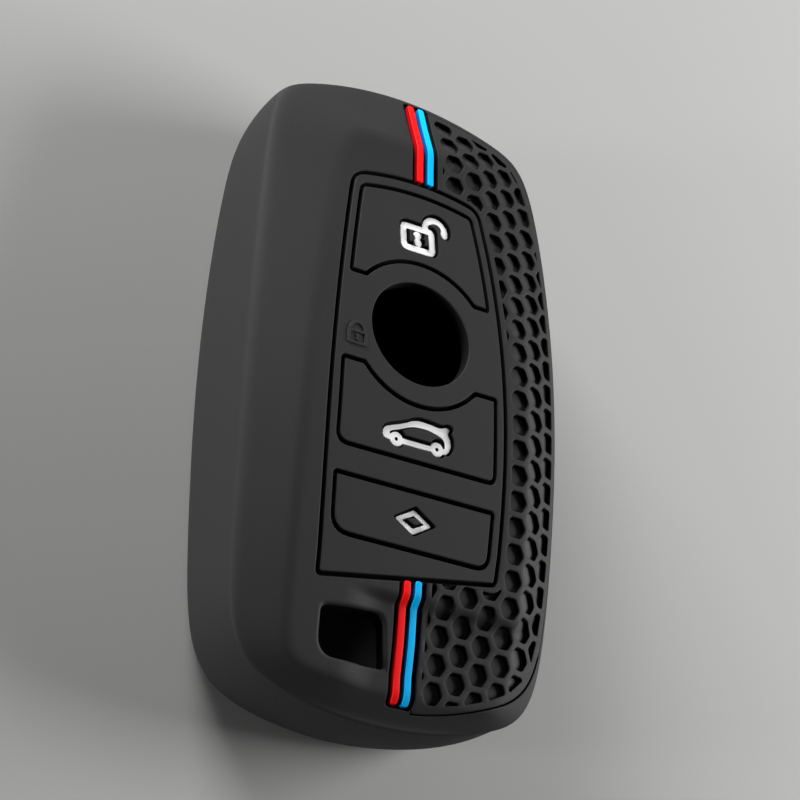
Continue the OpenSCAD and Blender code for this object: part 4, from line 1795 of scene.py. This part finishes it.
        body = self._body(self.mark_centre, (self.mark_width, height), self.mark_line,
                          self.mark_corner)
        keyhole = self._keyhole(self.mark_centre, self.mark_keyhole, self.mark_keyhole_half,
                                self.mark_neck)
        self._place(self._mark_part(*body), "lock_mark_body", "cover")
        self._place(self._mark_part(shackle), "lock_mark_shackle", "cover")
        self._place(self._mark_part(keyhole), "lock_mark_keyhole", "cover")

    def build(self) -> None:
        """Models all signs."""
        self._place(self._sign(*self._lock_body()), "unlock_sign_body", "unlock_button")
        self._place(self._sign(self._shackle), "unlock_sign_shackle", "unlock_button")
        self._place(self._sign(self._lock_keyhole()), "unlock_sign_keyhole", "unlock_button")
        self._place(self._car_sign(), "boot_sign", "boot_button")
        self._place(self._sign(*self._diamond()), "diamond_sign", "diamond_button")
        self._build_mark()


@dataclass
class Ribs:
    """The red and the azure rib, in two channels over and under the keypad panel.

    Attributes:
        x: Left edge of the red rib, before it leans.
        space: Width of the gap between the two ribs.
        end_margin: How far a channel reaches beyond the ribs' tips.
        side_margin: How far a channel reaches to the left of the red rib.
        root: How far a channel reaches under the panel's opening.
    """

    skin: Skin
    keypad: KeypadForm
    red: Dress
    azure: Dress
    x: float = -0.04 * MM
    width: float = 0.74 * MM
    space: float = 0.56 * MM
    depth: float = 0.6 * MM
    rise: float = 0.12 * MM
    edge: float = 0.1 * MM
    tip_corner: float = 0.3 * MM
    end_margin: float = 0.26 * MM
    side_margin: float = 0.54 * MM
    channel_corner: float = 0.5 * MM
    channel_edge: float = 0.12 * MM
    channel_right: float = 2.58 * MM
    top_y: float = 35.75 * MM
    bottom_y: float = -34.6 * MM
    root: float = 3 * MM
    strip: float = 0.3 * MM

    EDGE_TURNS = 5

    def _ends(self) -> list[tuple[str, float, float]]:
        """The names, tips and roots of the upper and the lower ribs."""
        return [("top", self.top_y, self.keypad.top_y - self.root),
                ("bottom", self.bottom_y, self.keypad.bottom_y + self.root)]

    def _lay(self, piece: bpy.types.Object, low: float, high: float) -> None:
        """Leans a straight piece and lays it over the front.

        Args:
            piece: The flat, straight piece.
            low: Its lower end.
            high: Its upper end.
        """
        Bench.slice(piece, ALONG, self.strip, low, high)
        for vert in piece.data.vertices:
            vert.co.x += self.skin.form.lean(vert.co.y)
        Bench.drape(piece, self.skin.height)

    def channels(self) -> list[bpy.types.Object]:
        """Models cutters for the two channels.

        Returns:
            The cutters, already laid over the front.
        """
        cutters = []
        left, right = self.x - self.side_margin, self.channel_right
        for _, tip, root in self._ends():
            way = 1 if tip > root else -1
            low, high = sorted((tip + way * self.end_margin, root))
            ring = box_outline(Vector((left, low)), Vector((right, high)), self.channel_corner)
            # The channel's walls and floor take the wall material: painted shade.
            cutter = Bench.slab("channel", ring, flared_cut(self.depth, self.channel_edge, 0.0))
            Bench.slice(cutter, ACROSS, self.width, left, right)
            self._lay(cutter, low, high)
            cutters.append(cutter)
        return cutters

    def _end_y(self, x: float, root: float) -> float:
        """Finds where a rib ends beside the panel's groove.

        Args:
            x: Left edge of the rib.
            root: Root of its channel, which tells the upper ribs from the lower.

        Returns:
            The end's place along the cover.
        """
        groove, middle = self.keypad.groove / 2, x + self.width / 2
        if root > 0:
            return self.keypad.arch_y(middle, self.keypad.top_y + groove)
        return self.keypad.bottom_y - groove + self.keypad.slant * middle / self.keypad.width

    def build(self) -> None:
        """Models the four ribs."""
        dresses = {"red": (self.x, self.red, "red_silicone"),
                   "blue": (self.x + self.width + self.space, self.azure, "azure_silicone")}
        # The ribs' walls take darker copies of their colours: painted shade.
        steps = rounded_top(self.depth, self.edge, 0.0, Slot.WALL, self.rise, self.EDGE_TURNS)
        for end, tip, root in self._ends():
            for colour, (x, dress, slot) in dresses.items():
                low, high = sorted((tip, self._end_y(x, root)))
                ring = box_outline(Vector((x, low)), Vector((x + self.width, high)),
                                   self.tip_corner)
                rib = Bench.slab("rib", ring, steps)
                self._lay(rib, low, high)
                name = f"{colour}_rib_{end}"
                hand_over(rib, f"{name}_look", "cover", dress, [name])


@dataclass
class HoneycombBand:
    """The honeycomb band along the right side of the front.

    Attributes:
        left: Left edge of the band, before it leans.
        rim: How far the band's outer edge lies inside the bevel's.
        strip_width: How far it lies inside along the bottom end.
        draft: How much narrower a cell is at its floor.
        sliver: Cells narrower than this are left out.
        close_up: Place on the rim from which upwards the gap to the shell is closed.
        reach: Half the size of the cutters that take all of one side.
    """

    skin: Skin
    keypad: KeypadForm
    dress: Dress
    depth: float = 1 * MM
    gap: float = 0.14 * MM
    left: float = 2.65 * MM
    border: float = 0.6 * MM
    rim: float = 0.44 * MM
    strip_width: float = 1.1 * MM
    bow: float = 5 * MM
    pitch: float = 2.9 * MM
    rib: float = 0.65 * MM
    cell_depth: float = 0.65 * MM
    cell_corner: float = 0.34 * MM
    cell_edge: float = 0.1 * MM
    draft: float = 0.06 * MM
    start: tuple[float, float] = (12.4 * MM, 0.5 * MM)
    sliver: float = 0.13 * MM
    edge: float = 0.1 * MM
    slice_width: float = 0.45 * MM
    close_up: float = -0.86
    close_width: float = 0.05
    reach: float = 40 * MM
    least_side: float = 0.03 * MM
    least_bend: float = 0.02 * MM

    RIM_POINTS = 120
    RIM_PULL = 0.3
    COLUMNS = range(-4, 4)
    ROWS = range(-14, 14)
    CELL_TURNS = 3
    CORNER_SHARE = 0.45
    LEAST_CELL_CORNER = LEAST_CORNER / 4
    WHOLE_SHARE = 0.995
    LEAST_WIDTHS = 3

    @property
    def _ended(self) -> EndedOutline:
        """The band's outer outline.

        Returns:
            The outline, without the gap to the shell.
        """
        form = self.skin.form
        half = form.length / 2
        return EndedOutline(form.width / 2 - form.edge_in_side - self.rim, form.waist_y,
                            half - form.waist_y - form.edge_in_top - self.rim,
                            half + form.waist_y - form.edge_in_bottom - self.strip_width,
                            form.narrow_up, form.narrow_down,
                            *form.edge_powers, form.top_bow, self.bow)

    @classmethod
    def _rim_places(cls) -> list[Vector]:
        """Places round the square from -1 to 1, closer together towards its corners.

        Returns:
            The places, anticlockwise.
        """
        count = cls.RIM_POINTS
        side = [spread(mix(-1, 1, number / count), cls.RIM_PULL) for number in range(count)]
        return ([Vector((t, -1)) for t in side] + [Vector((1, t)) for t in side]
                + [Vector((-t, 1)) for t in side] + [Vector((-1, -t)) for t in side])

    def _outer(self, inset: float, closed: bool) -> list[Vector]:
        """Gives the outer outline.

        Args:
            inset: How far it is moved inwards.
            closed: Whether it closes the gap to the shell, except along the bottom end.

        Returns:
            The outline's points.
        """
        points = []
        for place in self._rim_places():
            share = soft_step((place.y - self.close_up) / self.close_width) if closed else 0.0
            points.append(self._ended.at(place, self.gap * share - inset))
        return points

    def _left_cut(self, x: float, steps: Sequence[Step]) -> bpy.types.Object:
        """Models a cutter for all that lies to the left of a leaning line.

        Args:
            x: Place of the line, before it leans.
            steps: The rings of the cutter.

        Returns:
            The cutter.
        """
        form, reach = self.skin.form, self.reach

        def outline(inset: float) -> list[Vector]:
            """The cutter for an inset."""
            right = [Vector((x + form.lean(y) - inset, y))
                     for y in form.lean_places(-reach, reach)]
            return [Vector((-reach, reach)), Vector((-reach, -reach)), *right]
        return Bench.slab("cutter", outline, steps)

    def recess(self) -> bpy.types.Object:
        """Models a cutter for the recess that the band lies in.

        Returns:
            The cutter, already laid over the front.
        """
        # The recess's walls take the wall material: painted shade.
        steps = flared_cut(self.depth, self.edge, -self.gap)
        cutter = Bench.slab("recess", lambda inset: self._outer(inset, False), steps)
        wide = [Step(0.0, -2 * self.depth), Step(0.0, 2 * self.depth)]
        Bench.boolean(cutter, self._left_cut(self.left - self.gap, wide), Way.CUT)
        Bench.fit(cutter, self.skin.height, self.slice_width, (ACROSS, ALONG))
        return cutter

    def _beyond(self, points: Sequence[Vector], left: float) -> list[Vector]:
        """Keeps the part of an outline to the right of a leaning line.

        Args:
            points: The outline's points.
            left: Place of the line, before it leans.

        Returns:
            The points of that part, in order from one end to the other.
        """
        lean = self.skin.form.lean
        kept = [point for point in points if point.x > left + lean(point.y)]
        turn = max(range(len(kept)), key=lambda k: (kept[k] - kept[k - 1]).length)
        return kept[turn:] + kept[:turn]

    def _cell_region(self) -> list[Vector]:
        """Gives the outline that all cells are cut off at.

        Returns:
            The outline's points, anticlockwise.
        """
        form, left = self.skin.form, self.left + self.border
        rim = self._beyond(self._outer(self.border, False), left)
        beside = self._beyond(self.keypad.panel(-self.keypad.groove / 2 - self.border), left)
        upper, lower = ([Vector((left + form.lean(y), y)) for y in form.lean_places(*ends)][::-1]
                        for ends in ((beside[-1].y, rim[-1].y), (rim[0].y, beside[0].y)))
        return [*rim, *upper, *beside[::-1], *lower]

    def _cell_outline(self, points: Sequence[Vector]) -> Outline:
        """Gives the outline of a cell with soft corners.

        Args:
            points: The cell's tips.

        Returns:
            The outline.
        """
        count = len(points)
        sides = [(points[(number + 1) % count] - points[number]).length
                 for number in range(count)]
        sizes = [min(self.cell_corner, self.CORNER_SHARE * sides[number - 1],
                     self.CORNER_SHARE * sides[number]) for number in range(count)]

        def outline(inset: float) -> list[Vector]:
            """The cell for an inset."""
            moved = inset_by(points, inset)
            return rounded([(tip, max(size, self.LEAST_CELL_CORNER))
                            for tip, size in zip(moved, sizes)])
        return outline

    def _cell_steps(self) -> list[Step]:
        """Rings of a cell's cutter, with a slight draft and a rounded upper edge."""
        # Cell walls take the wall material, painted shade; floors take a lighter one, painted
        # light.
        steps = flared_cut(self.cell_depth, self.cell_edge, 0.0, floor=Slot.FLOOR,
                           turns=self.CELL_TURNS)
        return [Step(self.draft, steps[0].height, Slot.FLOOR), *steps[1:]]

    def _cells(self) -> bpy.types.Object:
        """Models cutters for all cells and returns them as one object.

        Returns:
            The cutters, joined to one object.
        """
        radius = (self.pitch - self.rib) / math.sqrt(3)
        hexagon = arc(Vector((0, 0)), radius, 0, 300, 5)
        whole = Bench.slab("cell", self._cell_outline(hexagon), self._cell_steps())
        region = self._cell_region()
        cells = []
        for column in self.COLUMNS:
            shift = self.pitch / 2 if column % 2 else 0.0
            for row in self.ROWS:
                centre = Vector((self.start[0] + column * self.pitch * math.sqrt(3) / 2,
                                 self.start[1] + row * self.pitch + shift))
                cell = [centre + point for point in hexagon]
                part = self._tidied(kept_inside(region, cell))
                if self._is_whole(part, radius):
                    copy = whole.copy()
                    copy.data = whole.data.copy()
                    copy.data.transform(Matrix.Translation(centre.to_3d()))
                    bpy.context.scene.collection.objects.link(copy)
                    cells.append(copy)
                elif self._is_open(part):
                    cells.append(Bench.slab("cell", self._cell_outline(part),
                                            self._cell_steps()))
        bpy.data.objects.remove(whole)
        return Bench.join(cells)

    def _tidied(self, points: Sequence[Vector]) -> list[Vector]:
        """Drops points that lie very close together or on a straight line.

        Args:
            points: The outline's points.

        Returns:
            The points that are left.
        """
        spaced = [point for number, point in enumerate(points)
                  if (point - points[number - 1]).length > self.least_side]
        kept = []
        for number, point in enumerate(spaced):
            before, after = spaced[number - 1], spaced[(number + 1) % len(spaced)]
            along = (after - before).normalized()
            away = abs(along.x * (point.y - before.y) - along.y * (point.x - before.x))
            if away > self.least_bend:
                kept.append(point)
        return kept

    @staticmethod
    def _area(points: Sequence[Vector]) -> float:
        """Area of an anticlockwise outline."""
        pairs = zip(points, [*points[1:], points[0]])
        return sum(a.x * b.y - b.x * a.y for a, b in pairs) / 2

    def _is_whole(self, points: Sequence[Vector], radius: float) -> bool:
        """Whether a clipped cell is still a whole hexagon."""
        full = 1.5 * math.sqrt(3) * radius * radius
        return len(points) == 6 and self._area(points) > self.WHOLE_SHARE * full

    def _is_open(self, points: Sequence[Vector]) -> bool:
        """Tells whether a clipped cell is wide enough to be cut.

        Args:
            points: The cell's points.

        Returns:
            Whether it is cut.
        """
        if len(points) < 3 or self._area(points) < (self.LEAST_WIDTHS * self.sliver) ** 2:
            return False
        around = sum((points[number] - points[number - 1]).length
                     for number in range(len(points)))
        return 2 * self._area(points) / around > self.sliver

    def build(self) -> None:
        """Models the band."""
        # The band's walls take the wall material: painted shade.
        steps = rounded_top(self.depth, self.edge, 0.0)
        band = Bench.slab("band", lambda inset: self._outer(inset, True), steps)
        side = flared_cut(2 * self.depth, self.edge, 0.0)
        Bench.boolean(band, self._left_cut(self.left, side), Way.CUT)
        around = flared_cut(2 * self.depth, self.edge, -self.keypad.groove / 2)
        Bench.boolean(band, Bench.slab("cutter", self.keypad.panel, around), Way.CUT)
        Bench.boolean(band, self._cells(), Way.CUT)
        Bench.fit(band, self.skin.height, self.slice_width, (ACROSS, ALONG))
        hand_over(band, "honeycomb_band_look", "cover", self.dress,
                  ["honeycomb_band"])


@dataclass
class Shell:
    """The shell moulding, with its openings and recesses.

    RING_SHARES gives the corners of the key-ring hole: their places as shares of its width
    and height, and the sizes of the soft corners as shares of its height.

    Attributes:
        under: How deep the cutters of the openings go.
        lip: Radius of the rounded lip of the opening in the back.
    """

    skin: Skin
    keypad: KeypadForm
    dress: Dress
    edge: float = 0.16 * MM
    hole_edge: float = 0.4 * MM
    under: float = 4 * MM
    strip: float = 1 * MM
    hole_strip: float = 0.5 * MM
    ring_centre: tuple[float, float] = (-5.22 * MM, -29 * MM)
    ring_width: float = 8.4 * MM
    ring_height: float = 6 * MM
    back_width: float = 27 * MM
    back_length: float = 36 * MM
    back_y: float = -10.8 * MM
    back_corner: float = 8 * MM
    lip: float = 0.5 * MM
    cavity_across: int = 40
    cavity_along: int = 80
    cavity_fineness: int = 4

    RING_SHARES = ((-0.5, 0.34, 0.13), (-0.474, -0.5, 0.38), (0.5, -0.433, 0.07),
                   (0.395, 0.5, 0.27))
    HOLE_TURNS = 6

    def _panel_opening(self) -> bpy.types.Object:
        """Models a cutter for the panel, already laid over the front.

        Returns:
            The draped cutter.
        """
        cutter = Bench.slab("opening", self.keypad.panel,
                            flared_cut(self.under, self.edge, -self.keypad.groove / 2))
        low, high = self.keypad.bottom_y - self.keypad.slant, self.keypad.top_y + self.strip
        Bench.slice(cutter, ALONG, self.strip, low, high)
        Bench.drape(cutter, self.skin.height)
        return cutter

    def _ring_outline(self, inset: float) -> list[Vector]:
        """Gives the outline of the key-ring hole.

        Args:
            inset: How far it is moved inwards.

        Returns:
            The outline's points.
        """
        left, foot = self.ring_centre
        tips = [Vector((left + x * self.ring_width, foot + y * self.ring_height))
                for x, y, _ in self.RING_SHARES]
        sizes = [size * self.ring_height for _, _, size in self.RING_SHARES]
        return rounded(list(zip(inset_by(tips, inset), sizes)))

    def _ring_hole(self) -> bpy.types.Object:
        """Models a cutter for the key-ring hole, already laid over the front.

        Returns:
            The draped cutter.
        """
        cutter = Bench.slab("ring", self._ring_outline,
                            flared_cut(self.under, self.hole_edge, 0.0, turns=self.HOLE_TURNS))
        Bench.fit(cutter, self.skin.height, self.hole_strip, (ACROSS, ALONG))
        return cutter

    def _back_opening(self) -> bpy.types.Object:
        """Models a cutter for the opening in the back, which leaves a rounded lip.

        Returns:
            The cutter.
        """
        half, centre = Vector((self.back_width, self.back_length)) / 2, Vector((0, self.back_y))
        steps = [Step(-self.lip, -self.lip), Step(-self.lip, 0.0, Slot.WALL)]
        for cosine, sine in quarter_turn(self.HOLE_TURNS):
            steps.append(Step(-self.lip * (1 - sine), self.lip * (1 - cosine)))
        steps.append(Step(0.0, self.under, Slot.WALL))
        return Bench.slab("back", box_outline(centre - half, centre + half, self.back_corner),
                          steps)

    def build(self, shell: bpy.types.Object, cutters: Sequence[bpy.types.Object]) -> None:
        """Cuts the cavity, the openings and the recesses out of the skin's solid.

        Args:
            shell: The skin's solid.
            cutters: The cutters of the band's and the ribs' recesses.
        """
        inner = Skin(self.skin.form, self.cavity_across, self.cavity_along, self.cavity_fineness)
        # The cavity and every cut wall take the wall material, painted shade, which darkens the
        # inside.
        Bench.boolean(shell, inner.solid("cavity", -self.skin.form.wall, Slot.WALL), Way.CUT)
        for cutter in (self._panel_opening(), self._ring_hole(), self._back_opening(), *cutters):
            Bench.boolean(shell, cutter, Way.CUT)
        hand_over(shell, "shell_look", "cover", self.dress, ["shell"])


BLACK = Silicone("black_silicone", (0.0205, 0.0205, 0.021), roughness=0.7, specular=0.2)
BAND = Silicone("band_silicone", (0.0205, 0.0205, 0.0205), roughness=0.7, specular=0.2)
# The recess material is the black silicone made much darker: painted shade on walls, grooves,
# holes and the inside of the cover.
RECESS_SHADE = Silicone("recess_painted_shade", (0.006, 0.006, 0.006), roughness=0.7, specular=0.1)
# The cell floor material is the band's black made about twice as light: painted light on the
# floors of the cells.
CELL_FLOOR_LIGHT = Silicone("cell_floor_painted_light", (0.045, 0.045, 0.046), roughness=0.65,
                      specular=0.15)
WHITE = Silicone("white_silicone", (1.0, 1.0, 1.0), cloud=0.0, specular=0.3)
RED = Silicone("red_silicone", (1.0, 0.006, 0.008), cloud=0.02, specular=0.1)
# The side materials are darker copies of the red and the azure: painted shade on the ribs' side
# walls.
RED_SIDE_SHADE = Silicone("red_side_painted_shade", (0.55, 0.0, 0.003), cloud=0.04, specular=0.1)
AZURE = Silicone("azure_silicone", (0.0, 0.5, 1.0), cloud=0.02, specular=0.1)
AZURE_SIDE_SHADE = Silicone("azure_side_painted_shade", (0.0, 0.14, 0.5), cloud=0.04, specular=0.1)

WEBS = ("unlock_web", "boot_web", "diamond_web")


def main() -> None:
    """Builds the studio and then every piece, in order."""
    logging.basicConfig(level=logging.INFO, format="%(message)s")
    black, band_black, recess, floor, white, red, red_side, azure, azure_side = (
        finish.material() for finish in (BLACK, BAND, RECESS_SHADE, CELL_FLOOR_LIGHT, WHITE, RED, RED_SIDE_SHADE,
                                         AZURE, AZURE_SIDE_SHADE))
    Studio().build()
    # Walls take the recess material, which is painted shade; the floor slot takes the lighter cell
    # floor material, which is painted light.
    dress = Dress(black, recess, floor)
    Bench.materials = dress.materials
    skin, keypad_form = Skin(CoverForm()), KeypadForm()
    outer = skin.solid("shell_look", 0.0, Slot.SURFACE)
    skin.learn(outer)
    keypad = Keypad(keypad_form, skin, dress)
    # The signs' recesses take the recess material, painted shade.
    signs = Signs(skin, keypad, Dress(white, recess, recess), Dress(black, black, black))
    # The ribs' walls take darker copies of the red and the azure, painted shade.
    ribs = Ribs(skin, keypad_form, Dress(red, red_side, red_side),
                Dress(azure, azure_side, azure_side))
    # The band's cell walls take painted shade and its cell floors painted light.
    band = HoneycombBand(skin, keypad_form, Dress(band_black, recess, floor))
    Shell(skin, keypad_form, dress).build(outer, [band.recess(), *ribs.channels()])
    keypad.build_panel()
    keypad.build_buttons(signs)
    signs.build()
    ribs.build()
    band.build()
    # The webs deep in the grooves take the recess material, painted shade.
    for name in WEBS:
        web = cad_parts[name]
        web.data.materials.clear()
        web.data.materials.append(recess)
        LOG.info("%s: dressed", name)


if __name__ == "__main__":
    main()
